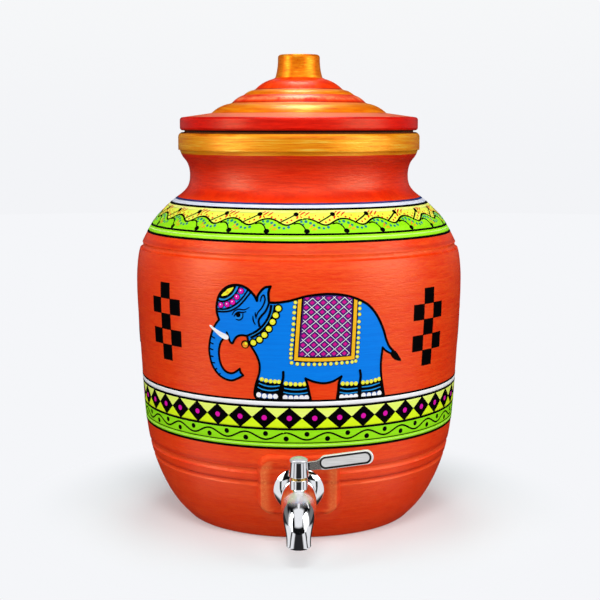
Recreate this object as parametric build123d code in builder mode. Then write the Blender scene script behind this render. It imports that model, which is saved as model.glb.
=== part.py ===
# A wheel-thrown terracotta water jar with a lift-off lid and a chromed quarter-turn tap.
# The clay body stands on a flat base, swells to a belly, closes to a neck and opens to a thick rim.
# A flat clay pad near the base carries the tap: its threaded shank passes through the wall, and a
# dished flange and rubber seal outside are drawn up by a washer and a hexagonal nut inside.
# In the tap a plug with a cross port turns in an upright tower, worked by a side lever.
# Units are millimetres. The origin is the centre of the base, +Z is up, and the tap faces -Y.

import os
from math import atan2, cos, hypot, radians, sin, tan

from build123d import *

os.makedirs("parts", exist_ok=True)

# Jar body
jar_height = 304.8
base_radius = 90.6
belly_radius = 130.0
belly_height_share = 0.68646
neck_radius = 86.9
neck_drop = 35.3
rim_radius = 95.9
rim_depth = 10.1
rim_edge_round = 4.0
rim_thickness = 12.9
mouth_depth = 15.0
mouth_edge_round = 1.5
wall = 8.5
floor_thickness = 10.0
base_edge_round = 1.6

# The waist of the neck is neck_drop below the top, and the belly is widest at its share of that height.
# How the wall goes from the base edge to the belly: shares of the growth in radius, and of the height
lower_wall_shares = (
    (0.244, 0.056),
    (0.487, 0.141),
    (0.706, 0.259),
    (0.835, 0.394),
    (0.893, 0.540),
    (0.975, 0.850),
)
# How it goes from the belly to the neck: shares of the fall in radius, and of the height between them
upper_wall_shares = (
    (0.023, 0.226),
    (0.065, 0.337),
    (0.197, 0.485),
    (0.381, 0.633),
    (0.522, 0.707),
    (0.673, 0.780),
    (0.863, 0.855),
    (0.974, 0.929),
)
# How the neck flares up to the rim, as shares of the same kind
flare_shares = ((0.040, 0.250), (0.311, 0.504), (0.767, 0.750), (0.930, 0.880))

# Tooled grooves round the body: height, depth and the radius of the tool. The shoulder's lies at a
# share of the height from belly to neck.
shoulder_groove_share = 0.381
shoulder_groove_depth = 0.9
upper_groove_height = 59.0
lower_groove_height = 48.8
body_groove_depth = 0.8
groove_tool_radius = 3.2

# Pad that carries the tap. It stands out from the wall and leans by a share of the wall's lean, and
# the tap stands a little below its middle.
tap_height = 45.5
pad_stand_out = 1.54
pad_lean_share = 0.6626
pad_width = 57.0
pad_height = 46.5
pad_rise = 3.2
pad_corner_round = 9.5
pad_edge_round = 3.4
pad_root = 20.0
pad_side_draft = 20.0
pad_clay_thickness = 8.0
spot_face_radius = 18.0
spot_face_length = 16.0
tap_hole_radius = 11.4

# Lid
lid_set_in = 1.5
lid_edge_height = 10.0
lid_edge_round = 2.2
lid_lift_gap = 1.3
lid_seat_margin = 1.1
lid_cone_height = 31.2
knob_height = 18.0
knob_base_radius = 18.7
knob_top_radius = 16.7
knob_edge_round = 2.4
spigot_clearance = 1.4
spigot_depth = 12.0
spigot_thickness = 7.0
spigot_edge_round = 1.2
lid_wall = 7.0
# The turned rings of the lid, from plate to knob: shares of the lid's radius and of the cone's height
lid_ring_shares = (
    ((0.735, 0.114), (0.668, 0.262), (0.577, 0.353)),
    ((0.561, 0.374), (0.516, 0.492), (0.473, 0.556)),
    ((0.461, 0.572), (0.425, 0.650), (0.382, 0.690)),
    ((0.366, 0.711), (0.300, 0.868), (0.222, 0.965)),
)
lid_brim_share = 0.941
lid_brim_rise_share = 0.026
knob_waist_share = 0.420
knob_waist_height_share = 0.250

# Threaded shank and what clamps it
thread_radius = 10.48
thread_depth = 1.16
thread_pitch = 1.814
thread_crest_share = 0.120
shank_inside_length = 23.0
shank_bore_radius = 5.0
shank_bore_end = 9.0
shank_clearance = 0.22
seal_radius = 14.6
seal_thickness = 4.0
flange_radius = 18.4
flange_wall = 1.4
flange_lip_gap = 0.2
flange_lip_height = 1.2
inner_seal_radius = 16.0
inner_seal_thickness = 3.0
back_washer_radius = 16.8
back_washer_thickness = 1.5
nut_across_flats = 27.0
nut_thickness = 6.5
nut_chamfer = 0.8
nut_clearance = 0.06

# Tap body: the barrel, the tower that stands on it, and the spout. Each rise or drop here and in the
# valve and lever is taken from the tap's height on the pad.
tower_offset = 19.5
barrel_radius = 12.75
barrel_root_radius = 12.1
tower_radius = 6.6
tower_rise = 13.5
tower_edge_round = 0.4
nozzle_reach = 25.0
nozzle_tip_drop = 28.9
nozzle_length = 5.0
nozzle_radius = 8.6
nozzle_lip_round = 1.6
nozzle_bore_radius = 5.6
nozzle_bore_length = 12.0
spout_channel_radius = 4.4
# Sections of barrel and spout: share of the reach from tower to nozzle, share of the drop from the
# barrel's middle to the nozzle's top, lean of the flow below the level in degrees, share of the radius
spout_station_shares = (
    (0.00, 0.000, 12.0, 1.000),
    (0.48, 0.185, 26.0, 0.960),
    (0.86, 0.495, 56.0, 0.815),
    (0.98, 0.800, 82.0, 0.700),
)

# Valve in the tower
chamber_radius = 4.60
chamber_base_drop = 12.5
chamber_top_rise = 5.0
plug_clearance = 0.03
plug_base_gap = 0.3
port_radius = 2.8
ring_section_radius = 0.5
ring_groove_width = 1.25
ring_squeeze_gap = 0.02
upper_ring_rise = 1.5
lower_ring_drop = 10.1
friction_washer_thickness = 0.9
friction_washer_radius = 4.5
stem_radius = 3.0
stem_clearance = 0.04
gland_thread_radius = 5.2
gland_clearance = 0.05
gland_flange_radius = 6.0
gland_flange_thickness = 1.6
drive_square = 4.4
drive_clearance = 0.03
drive_step = 0.1
screw_hole_depth = 8.0

# Lever with its hub, screw, cap and plate
hub_gap = 0.4
hub_base_radius = 7.2
hub_top_radius = 6.4
hub_top_rise = 26.5
hub_recess_depth = 2.5
hub_recess_radius = 5.0
hub_base_round = 0.5
screw_head_radius = 3.8
screw_head_height = 1.8
screw_head_round = 0.5
screw_radius = 1.4
screw_length = 6.5
screw_clearance = 0.03
screw_slot_width = 0.8
screw_slot_depth = 0.9
cap_radius = 6.55
cap_height = 3.7
cap_edge_round = 1.7
cap_plug_clearance = 0.06
cap_plug_depth = 0.5
cap_plug_wall = 1.0
lever_slope = 7.8
lever_axis_rise = 23.2
lever_length = 54.0
lever_half_height = 5.15
lever_thickness = 3.2
lever_edge_round = 0.6
lever_neck_start = 5.25
lever_neck_end = 12.0
lever_shoulder = 20.0
neck_top = 2.4
neck_bottom = 4.2
plate_length = 35.6
plate_height = 7.2
plate_thickness = 0.7
plate_end_margin = 2.6
plate_clearance = 0.15
plate_recess_depth = 0.9
plate_edge_round = 0.25

# How far a cutting tool runs past what it cuts
overrun = 2.0


def inset(points, distance):
    """Moves a curve's points inwards, square to the line between each one's neighbours."""
    moved = []
    for index, (radius, height) in enumerate(points):
        before = points[max(index - 1, 0)]
        after = points[min(index + 1, len(points) - 1)]
        along_radius = after[0] - before[0]
        along_height = after[1] - before[1]
        length = hypot(along_radius, along_height)
        moved.append(
            (radius - distance * along_height / length, height + distance * along_radius / length)
        )
    return moved


# The wall's outer points, from the base edge to the neck, then up the flare to the rim
mouth_radius = rim_radius - rim_thickness
neck_height = jar_height - neck_drop
belly_height = belly_height_share * neck_height
lower_points = [
    (base_radius + share_r * (belly_radius - base_radius), share_z * belly_height)
    for share_r, share_z in lower_wall_shares
]
upper_points = [
    (
        belly_radius - share_r * (belly_radius - neck_radius),
        belly_height + share_z * (neck_height - belly_height),
    )
    for share_r, share_z in upper_wall_shares
]
rim_bottom = jar_height - rim_depth
flare_points = [
    (
        neck_radius + share_r * (rim_radius - neck_radius),
        neck_height + share_z * (rim_bottom - neck_height),
    )
    for share_r, share_z in flare_shares
]
wall_points = (
    [(base_radius, 0)]
    + lower_points
    + [(belly_radius, belly_height)]
    + upper_points
    + [(neck_radius, neck_height)]
)


def wall_radius_at(height):
    """The radius of the outer wall at a height below the neck, read between the wall's points."""
    for (radius_a, height_a), (radius_b, height_b) in zip(wall_points, wall_points[1:]):
        if height_a <= height <= height_b:
            return radius_a + (radius_b - radius_a) * (height - height_a) / (height_b - height_a)
    raise ValueError("the height is outside the wall")


# The pad's plane lies on its face and looks outwards along the tap's shank, which leans down
pad_reach = wall_radius_at(tap_height) + pad_stand_out
wall_growth = (
    wall_radius_at(tap_height + pad_height / 2) - wall_radius_at(tap_height - pad_height / 2)
)
tilt = pad_lean_share * atan2(wall_growth, pad_height)
pad_plane = Plane(
    origin=(0, -pad_reach, tap_height), x_dir=(1, 0, 0), z_dir=(0, -cos(tilt), -sin(tilt))
)
# A half-section of the shank: its local X is the radius, and its local Y runs outwards
shank_section = Plane(
    origin=pad_plane.origin, x_dir=(1, 0, 0), z_dir=(0, sin(tilt), -cos(tilt))
)
shank_axis = Axis(pad_plane.origin, pad_plane.z_dir)

# The tower's axis, the middle of the barrel under it, and a half-section of the tower
tower_y = -(pad_reach + tower_offset)
barrel_middle = tap_height - tower_offset * tan(tilt)
tower_top = tap_height + tower_rise
chamber_base = tap_height - chamber_base_drop
chamber_top = tap_height + chamber_top_rise
nozzle_tip = tap_height - nozzle_tip_drop
hub_top = tap_height + hub_top_rise
tower_axis = Axis((0, tower_y, 0), (0, 0, 1))
tower_section = Plane(origin=(0, tower_y, 0), x_dir=(1, 0, 0), z_dir=(0, -1, 0))


def tower_plane(height):
    """A level plane at a height, centred on the tower."""
    return Plane(origin=(0, tower_y, height), x_dir=(1, 0, 0), z_dir=(0, 0, 1))


# Pad: a drafted block let into the wall, with its front edge rounded
with BuildPart() as pad:
    with BuildSketch(pad_plane):
        with Locations((0, pad_rise)):
            RectangleRounded(pad_width, pad_height, pad_corner_round)
    extrude(amount=-pad_root, taper=-pad_side_draft)
    fillet(pad.faces().sort_by(shank_axis)[-1].edges(), pad_edge_round)

# Jar body: the thrown wall, its grooves, the pad, the hollow, and the hole for the tap
inner_wall_points = [
    point for point in inset(wall_points, wall)[1:] if point[1] > floor_thickness + wall / 2
]
shoulder_groove = belly_height + shoulder_groove_share * (neck_height - belly_height)
with BuildPart() as jar_body:
    with BuildSketch(Plane.XZ):
        with BuildLine():
            Line((0, 0), (base_radius, 0))
            Spline(
                (base_radius, 0), *lower_points, (belly_radius, belly_height), *upper_points,
                (neck_radius, neck_height), *flare_points, (rim_radius, rim_bottom),
                tangents=((1, 1), (0, 1)),
            )
            Polyline(
                (rim_radius, rim_bottom), (rim_radius, jar_height), (0, jar_height), (0, 0)
            )
        make_face()
    revolve(axis=Axis.Z)
    fillet(jar_body.edges().filter_by(GeomType.CIRCLE).group_by(Axis.Z)[-1], rim_edge_round)
    fillet(jar_body.edges().filter_by(GeomType.CIRCLE).group_by(Axis.Z)[0], base_edge_round)
    # Tooled grooves
    with BuildSketch(Plane.XZ):
        for height, depth in (
            (shoulder_groove, shoulder_groove_depth),
            (upper_groove_height, body_groove_depth),
            (lower_groove_height, body_groove_depth),
        ):
            with Locations((wall_radius_at(height) + groove_tool_radius - depth, height)):
                Circle(groove_tool_radius)
    revolve(axis=Axis.Z, mode=Mode.SUBTRACT)
    add(pad.part)
    # The hollow: a floor, the inset of the wall, the neck and the mouth
    with BuildSketch(Plane.XZ):
        with BuildLine():
            floor_edge = inner_wall_points[0][0] - wall
            Line((0, floor_thickness), (floor_edge, floor_thickness))
            Spline(
                (floor_edge, floor_thickness), *inner_wall_points,
                tangents=((1, 0), (0, 1)),
            )
            Polyline(
                inner_wall_points[-1],
                (mouth_radius, jar_height - mouth_depth),
                (mouth_radius, jar_height + overrun),
                (0, jar_height + overrun),
                (0, floor_thickness),
            )
        make_face()
    revolve(axis=Axis.Z, mode=Mode.SUBTRACT)
    mouth_edges = jar_body.edges().filter_by(GeomType.CIRCLE).group_by(Axis.Z)[-1]
    fillet(mouth_edges.sort_by(SortBy.RADIUS)[0], mouth_edge_round)
    # The flat inside for the clamped seal, and the hole for the shank
    with BuildSketch(pad_plane.offset(-pad_clay_thickness)):
        Circle(spot_face_radius)
    extrude(amount=-spot_face_length, mode=Mode.SUBTRACT)
    with BuildSketch(pad_plane.offset(overrun)):
        Circle(tap_hole_radius)
    extrude(amount=-(overrun + pad_clay_thickness + overrun), mode=Mode.SUBTRACT)
jar_body.part.label = "jar_body"
export_step(jar_body.part, "parts/jar_body.step")

# Lid: a plate with an edge, turned rings rising to a knob, a spigot below and a hollow inside it
lid_radius = rim_radius - lid_set_in
lid_seat = jar_height
plate_top = lid_seat + lid_lift_gap + lid_edge_height
knob_base = plate_top + lid_cone_height
lid_top = knob_base + knob_height
spigot_radius = mouth_radius - spigot_clearance
spigot_inner_radius = spigot_radius - spigot_thickness
lid_rings = [
    [
        (share_r * lid_radius, plate_top + share_z * lid_cone_height)
        for share_r, share_z in ring
    ]
    for ring in lid_ring_shares
]
lid_contact_radius = rim_radius - rim_edge_round - lid_seat_margin
with BuildPart() as lid:
    with BuildSketch(Plane.XZ):
        with BuildLine():
            Polyline(
                (0, lid_seat),
                (lid_contact_radius, lid_seat),
                (lid_contact_radius, lid_seat + lid_lift_gap),
                (lid_radius, lid_seat + lid_lift_gap),
                (lid_radius, plate_top),
                (lid_brim_share * lid_radius, plate_top + lid_brim_rise_share * lid_cone_height),
                lid_rings[0][0],
            )
            for ring in lid_rings:
                ThreePointArc(*ring)
            for ring, next_ring in zip(lid_rings, lid_rings[1:]):
                Line(ring[-1], next_ring[0])
            Line(lid_rings[-1][-1], (knob_base_radius, knob_base))
            Spline(
                (knob_base_radius, knob_base),
                (
                    knob_top_radius + knob_waist_share * (knob_base_radius - knob_top_radius),
                    knob_base + knob_waist_height_share * knob_height,
                ),
                (knob_top_radius, lid_top),
            )
            Polyline((knob_top_radius, lid_top), (0, lid_top), (0, lid_seat))
        make_face()
    revolve(axis=Axis.Z)
    circles = lid.edges().filter_by(GeomType.CIRCLE)
    fillet(circles.group_by(Axis.Z)[-1], knob_edge_round)
    outer_edges = lid.edges().filter_by(GeomType.CIRCLE).filter_by(
        lambda edge: abs(edge.radius - lid_radius) < lid_edge_round / 2
    )
    fillet(outer_edges, lid_edge_round)
    # The spigot that drops into the mouth
    with BuildSketch(Plane.XY.offset(lid_seat - spigot_depth)):
        Circle(spigot_radius)
    extrude(amount=spigot_depth)
    fillet(lid.edges().filter_by(GeomType.CIRCLE).group_by(Axis.Z)[0], spigot_edge_round)
    # The hollow, at an even wall under the rings
    cone_line = [lid_rings[0][0], lid_rings[1][0], lid_rings[3][0], (knob_base_radius, knob_base)]
    hollow_line = inset(cone_line, lid_wall)
    with BuildSketch(Plane.XZ):
        with BuildLine():
            Polyline(
                (0, lid_seat - spigot_depth - overrun),
                (spigot_inner_radius, lid_seat - spigot_depth - overrun),
                (spigot_inner_radius, lid_seat + lid_lift_gap),
                *hollow_line,
                (0, hollow_line[-1][1]),
                (0, lid_seat - spigot_depth - overrun),
            )
        make_face()
    revolve(axis=Axis.Z, mode=Mode.SUBTRACT)
lid.part.label = "lid"
export_step(lid.part, "parts/lid.step")

# Outer seal: a rubber ring under the flange, against the pad
shank_hole_radius = thread_radius + shank_clearance
with BuildPart() as outer_seal:
    with BuildSketch(pad_plane):
        Circle(seal_radius)
        Circle(shank_hole_radius, mode=Mode.SUBTRACT)
    extrude(amount=seal_thickness)
outer_seal.part.label = "outer_seal"
export_step(outer_seal.part, "parts/outer_seal.step")

# Flange: a pressed dish that covers the seal and reaches nearly to the pad
flange_top = seal_thickness + flange_wall
seal_cover_radius = seal_radius + flange_wall / 2
with BuildPart() as tap_flange:
    with BuildSketch(shank_section):
        with BuildLine():
            Polyline(
                (flange_radius - flange_wall, flange_lip_gap),
                (flange_radius, flange_lip_gap),
                (flange_radius, flange_lip_height),
            )
            RadiusArc(
                (flange_radius, flange_lip_height), (barrel_root_radius, flange_top), -seal_radius
            )
            Polyline(
                (barrel_root_radius, flange_top),
                (shank_hole_radius, flange_top),
                (shank_hole_radius, seal_thickness),
                (seal_cover_radius - flange_wall / 2, seal_thickness),
                (seal_cover_radius, seal_thickness - flange_wall / 2),
                (flange_radius - flange_wall, flange_lip_gap),
            )
        make_face()
    revolve(axis=shank_axis)
tap_flange.part.label = "tap_flange"
export_step(tap_flange.part, "parts/tap_flange.step")

# Inner seal and back washer: they lie on the flat inside the wall
inner_seal_face = -(pad_clay_thickness + inner_seal_thickness)
washer_face = inner_seal_face - back_washer_thickness
with BuildPart() as inner_seal:
    with BuildSketch(pad_plane.offset(inner_seal_face)):
        Circle(inner_seal_radius)
        Circle(shank_hole_radius, mode=Mode.SUBTRACT)
    extrude(amount=inner_seal_thickness)
inner_seal.part.label = "inner_seal"
export_step(inner_seal.part, "parts/inner_seal.step")

with BuildPart() as back_washer:
    with BuildSketch(pad_plane.offset(washer_face)):
        Circle(back_washer_radius)
        Circle(shank_hole_radius, mode=Mode.SUBTRACT)
    extrude(amount=back_washer_thickness)
back_washer.part.label = "back_washer"
export_step(back_washer.part, "parts/back_washer.step")

# Back nut: a hexagon with its corners chamfered off at both ends
nut_corner_radius = nut_across_flats / 2 / cos(radians(30))
with BuildPart() as back_nut:
    with BuildSketch(pad_plane.offset(washer_face)):
        RegularPolygon(nut_corner_radius, 6)
        Circle(thread_radius + nut_clearance, mode=Mode.SUBTRACT)
    extrude(amount=-nut_thickness)
    nut_inner_face = washer_face - nut_thickness
    with BuildSketch(shank_section):
        with BuildLine():
            Polyline(
                (0, washer_face),
                (nut_corner_radius - nut_chamfer, washer_face),
                (nut_corner_radius, washer_face - nut_chamfer / 2),
                (nut_corner_radius, nut_inner_face + nut_chamfer / 2),
                (nut_corner_radius - nut_chamfer, nut_inner_face),
                (0, nut_inner_face),
                (0, washer_face),
            )
        make_face()
    revolve(axis=shank_axis, mode=Mode.INTERSECT)
back_nut.part.label = "back_nut"
export_step(back_nut.part, "parts/back_nut.step")

# Tap body: a threaded shank, the barrel and spout drawn as one swept form, the tower, and the bores
shank_end = -shank_inside_length
thread_root = thread_radius - thread_depth
thread_count = int((shank_inside_length - pad_clay_thickness / 2) / thread_pitch)
thread_points = []
for turn in range(thread_count):
    start = shank_end + turn * thread_pitch
    middle = start + thread_pitch / 2
    crest = thread_crest_share * thread_pitch / 2
    thread_points += [
        (thread_root, start), (thread_radius, middle - crest), (thread_radius, middle + crest)
    ]
thread_end = shank_end + thread_count * thread_pitch
spout_drop = barrel_middle - (nozzle_tip + nozzle_length)
nozzle_y = tower_y - nozzle_reach
spout_start = tower_offset + spout_station_shares[1][0] * nozzle_reach
passage_length = spout_start / cos(tilt) - shank_bore_end + port_radius


def spout_plane(share_y, share_z, lean):
    """The plane across the flow at one place along the spout."""
    angle = radians(lean)
    return Plane(
        origin=(0, tower_y - share_y * nozzle_reach, barrel_middle - share_z * spout_drop),
        x_dir=(1, 0, 0),
        z_dir=(0, -cos(angle), -sin(angle)),
    )


spout_centres = [
    spout_plane(share_y, share_z, lean).origin
    for share_y, share_z, lean, share_radius in spout_station_shares
]
with BuildPart() as tap_body:
    with BuildSketch(pad_plane.offset(flange_top)):
        Circle(barrel_root_radius)
    for share_y, share_z, lean, share_radius in spout_station_shares:
        with BuildSketch(spout_plane(share_y, share_z, lean)):
            Circle(share_radius * barrel_radius)
    with BuildSketch(Plane(
        origin=(0, nozzle_y, nozzle_tip + nozzle_length), x_dir=(1, 0, 0), z_dir=(0, 0, -1)
    )) as nozzle_top:
        Circle(nozzle_radius)
    loft()
    extrude(nozzle_top.sketch, amount=nozzle_length)
    fillet(tap_body.edges().filter_by(GeomType.CIRCLE).group_by(Axis.Z)[0], nozzle_lip_round)
    # The shank, with its thread cut as rings
    with BuildSketch(shank_section):
        with BuildLine():
            Polyline(
                (0, shank_end),
                *thread_points,
                (thread_root, thread_end),
                (thread_root, 0),
                (thread_radius, 0),
                (thread_radius, flange_top),
                (0, flange_top),
                (0, shank_end),
            )
        make_face()
    revolve(axis=shank_axis)
    # The tower
    with BuildSketch(tower_plane(barrel_middle)):
        Circle(tower_radius)
    extrude(amount=tower_top - barrel_middle)
    fillet(tap_body.edges().filter_by(GeomType.CIRCLE).group_by(Axis.Z)[-1], tower_edge_round)
    # The water's way in, across the plug's chamber and down the spout
    with BuildSketch(pad_plane.offset(shank_end)):
        Circle(shank_bore_radius)
    extrude(amount=shank_inside_length + shank_bore_end, mode=Mode.SUBTRACT)
    with BuildSketch(pad_plane.offset(shank_bore_end)):
        Circle(port_radius)
    extrude(amount=passage_length, mode=Mode.SUBTRACT)
    with BuildSketch(spout_plane(*spout_station_shares[1][:3])):
        Circle(spout_channel_radius)
    for share_y, share_z, lean, share_radius in spout_station_shares[2:]:
        with BuildSketch(spout_plane(share_y, share_z, lean)):
            Circle(spout_channel_radius)
    with BuildSketch(Plane(
        origin=(0, nozzle_y, nozzle_tip + nozzle_length), x_dir=(1, 0, 0), z_dir=(0, 0, -1)
    )):
        Circle(spout_channel_radius)
    loft(mode=Mode.SUBTRACT)
    with BuildSketch(Plane(
        origin=(0, nozzle_y, nozzle_tip), x_dir=(1, 0, 0), z_dir=(0, 0, -1)
    )):
        Circle(nozzle_bore_radius)
    extrude(amount=-nozzle_bore_length, mode=Mode.SUBTRACT)
    # The chamber for the plug, and the wider bore for the gland bush
    with BuildSketch(tower_plane(chamber_base)):
        Circle(chamber_radius)
    extrude(amount=tower_top - chamber_base, mode=Mode.SUBTRACT)
    with BuildSketch(tower_plane(chamber_top)):
        Circle(gland_thread_radius + gland_clearance)
    extrude(amount=tower_top - chamber_top, mode=Mode.SUBTRACT)
tap_body.part.label = "tap_body"
export_step(tap_body.part, "parts/tap_body.step")

# Plug spindle: the plug with its cross port and ring grooves, the stem, and the square for the lever
plug_radius = chamber_radius - plug_clearance
plug_bottom = chamber_base + plug_base_gap
lower_ring = tap_height - lower_ring_drop
upper_ring = tap_height + upper_ring_rise
washer_bottom = chamber_top - friction_washer_thickness
gland_top = tower_top + gland_flange_thickness
hub_bottom = gland_top + hub_gap
recess_floor = hub_top - hub_recess_depth
drive_top = recess_floor - drive_step
groove_depth = 2 * ring_section_radius - (plug_clearance - ring_squeeze_gap)
with BuildPart() as plug_spindle:
    with BuildSketch(tower_plane(plug_bottom)):
        Circle(plug_radius)
    extrude(amount=washer_bottom - plug_bottom)
    with BuildSketch(tower_plane(washer_bottom)):
        Circle(stem_radius)
    extrude(amount=drive_top - washer_bottom)
    # Flats of the square
    with BuildSketch(tower_plane(hub_bottom)):
        Circle(stem_radius + overrun)
        Rectangle(drive_square, drive_square, mode=Mode.SUBTRACT)
    extrude(amount=drive_top - hub_bottom, mode=Mode.SUBTRACT)
    # Cross port, grooves and the hole for the screw
    with BuildSketch(Plane(
        origin=(-chamber_radius, tower_y, barrel_middle), x_dir=(0, 1, 0), z_dir=(1, 0, 0)
    )):
        Circle(port_radius)
    extrude(amount=2 * chamber_radius, mode=Mode.SUBTRACT)
    for ring_height in (lower_ring, upper_ring):
        with BuildSketch(tower_plane(ring_height - ring_groove_width / 2)):
            Circle(plug_radius + overrun)
            Circle(plug_radius - groove_depth, mode=Mode.SUBTRACT)
        extrude(amount=ring_groove_width, mode=Mode.SUBTRACT)
    with BuildSketch(tower_plane(drive_top)):
        Circle(screw_radius + screw_clearance)
    extrude(amount=-screw_hole_depth, mode=Mode.SUBTRACT)
plug_spindle.part.label = "plug_spindle"
export_step(plug_spindle.part, "parts/plug_spindle.step")

# Plug O-rings: one above the port and one below it
ring_middle_radius = plug_radius - groove_depth + ring_section_radius
with BuildPart() as plug_o_rings:
    with Locations((0, tower_y, lower_ring), (0, tower_y, upper_ring)):
        Torus(ring_middle_radius, ring_section_radius)
plug_o_rings.part.label = "plug_o_rings"
export_step(plug_o_rings.part, "parts/plug_o_rings.step")

# Friction washer: between the plug's shoulder and the gland bush
with BuildPart() as friction_washer:
    with BuildSketch(tower_plane(washer_bottom)):
        Circle(friction_washer_radius)
        Circle(stem_radius + stem_clearance, mode=Mode.SUBTRACT)
    extrude(amount=friction_washer_thickness)
friction_washer.part.label = "friction_washer"
export_step(friction_washer.part, "parts/friction_washer.step")

# Gland bush: threaded into the tower, it holds the plug down and guides the stem
with BuildPart() as gland_bush:
    with BuildSketch(tower_plane(chamber_top)):
        Circle(gland_thread_radius)
    extrude(amount=tower_top - chamber_top)
    with BuildSketch(tower_plane(tower_top)):
        Circle(gland_flange_radius)
    extrude(amount=gland_flange_thickness)
    with BuildSketch(tower_plane(chamber_top)):
        Circle(stem_radius + stem_clearance)
    extrude(amount=gland_top - chamber_top, mode=Mode.SUBTRACT)
gland_bush.part.label = "gland_bush"
export_step(gland_bush.part, "parts/gland_bush.step")

# Lever handle: a tapered hub on the square, a neck, and a flat paddle with a recess for the plate
rise = radians(lever_slope)
lever_plane = Plane(
    origin=(0, tower_y, tap_height + lever_axis_rise), x_dir=(cos(rise), 0, sin(rise)), z_dir=(0, -1, 0)
)
paddle_end = lever_length - lever_half_height
plate_middle = lever_length - plate_end_margin - plate_length / 2
recess_length = plate_length + 2 * plate_clearance
recess_height = plate_height + 2 * plate_clearance
lever_face = lever_plane.offset(lever_thickness / 2)
with BuildPart() as lever_handle:
    with BuildSketch(lever_plane.offset(-lever_thickness / 2)):
        with BuildLine():
            Polyline(
                (lever_neck_end, -neck_bottom),
                (lever_neck_start, -neck_bottom),
                (lever_neck_start, neck_top),
                (lever_neck_end, neck_top),
            )
            Spline(
                (lever_neck_end, neck_top), (lever_shoulder, lever_half_height),
                tangents=((1, 0), (1, 0)),
            )
            Line((lever_shoulder, lever_half_height), (paddle_end, lever_half_height))
            ThreePointArc(
                (paddle_end, lever_half_height), (lever_length, 0), (paddle_end, -lever_half_height)
            )
            Line((paddle_end, -lever_half_height), (lever_shoulder, -lever_half_height))
            Spline(
                (lever_shoulder, -lever_half_height), (lever_neck_end, -neck_bottom),
                tangents=((-1, 0), (-1, 0)),
            )
        make_face()
    extrude(amount=lever_thickness)
    with BuildSketch(lever_face):
        with Locations((plate_middle, 0)):
            SlotOverall(recess_length, recess_height)
    extrude(amount=-plate_recess_depth, mode=Mode.SUBTRACT)
    rim_faces = lever_handle.faces().filter_by(Axis.Y)
    outline_edges = rim_faces.sort_by(Axis.Y)[0].outer_wire().edges()
    back_edges = rim_faces.sort_by(Axis.Y)[-1].outer_wire().edges()
    beyond_neck = [
        edge for edge in outline_edges + back_edges
        if edge.center().X > lever_neck_start + lever_edge_round
    ]
    fillet(beyond_neck, lever_edge_round)
    # The hub
    with BuildSketch(tower_section):
        with BuildLine():
            Polyline(
                (0, hub_bottom),
                (hub_base_radius, hub_bottom),
                (hub_top_radius, hub_top),
                (0, hub_top),
                (0, hub_bottom),
            )
        make_face()
    revolve(axis=tower_axis)
    with BuildSketch(tower_plane(hub_bottom)):
        Rectangle(drive_square + 2 * drive_clearance, drive_square + 2 * drive_clearance)
    extrude(amount=hub_top - hub_bottom, mode=Mode.SUBTRACT)
    with BuildSketch(tower_plane(recess_floor)):
        Circle(hub_recess_radius)
    extrude(amount=hub_recess_depth, mode=Mode.SUBTRACT)
    fillet(
        lever_handle.edges().filter_by(GeomType.CIRCLE).filter_by_position(
            Axis.Z, hub_bottom - hub_base_round, hub_bottom + hub_base_round
        ).sort_by(SortBy.RADIUS)[-1],
        hub_base_round,
    )
lever_handle.part.label = "lever_handle"
export_step(lever_handle.part, "parts/lever_handle.step")

# Name plate: a bare slip of metal let into the paddle
with BuildPart() as name_plate:
    with BuildSketch(lever_face.offset(-plate_recess_depth)):
        with Locations((plate_middle, 0)):
            SlotOverall(plate_length, plate_height)
    extrude(amount=plate_thickness)
    fillet(name_plate.faces().sort_by(Axis.Y)[0].edges(), plate_edge_round)
name_plate.part.label = "name_plate"
export_step(name_plate.part, "parts/name_plate.step")

# Handle screw: a slotted cheese head in the hub's recess, threaded down into the spindle
with BuildPart() as handle_screw:
    with BuildSketch(tower_plane(recess_floor)):
        Circle(screw_head_radius)
    extrude(amount=screw_head_height)
    fillet(handle_screw.edges().filter_by(GeomType.CIRCLE).group_by(Axis.Z)[-1], screw_head_round)
    with BuildSketch(tower_plane(recess_floor)):
        Circle(screw_radius)
    extrude(amount=-screw_length)
    with BuildSketch(tower_plane(recess_floor + screw_head_height)):
        Rectangle(2 * screw_head_radius + overrun, screw_slot_width)
    extrude(amount=-screw_slot_depth, mode=Mode.SUBTRACT)
handle_screw.part.label = "handle_screw"
export_step(handle_screw.part, "parts/handle_screw.step")

# Lever cap: a domed button over the screw, with a ring that plugs into the recess
with BuildPart() as lever_cap:
    with BuildSketch(tower_plane(hub_top)):
        Circle(cap_radius)
    extrude(amount=cap_height)
    fillet(lever_cap.edges().filter_by(GeomType.CIRCLE).group_by(Axis.Z)[-1], cap_edge_round)
    with BuildSketch(tower_plane(hub_top)):
        Circle(hub_recess_radius - cap_plug_clearance)
        Circle(hub_recess_radius - cap_plug_clearance - cap_plug_wall, mode=Mode.SUBTRACT)
    extrude(amount=-cap_plug_depth)
lever_cap.part.label = "lever_cap"
export_step(lever_cap.part, "parts/lever_cap.step")
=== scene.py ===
import math

import bmesh
import bpy
from mathutils import Matrix, Vector
from mathutils.bvhtree import BVHTree
from mathutils.geometry import delaunay_2d_cdt, intersect_point_line


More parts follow.
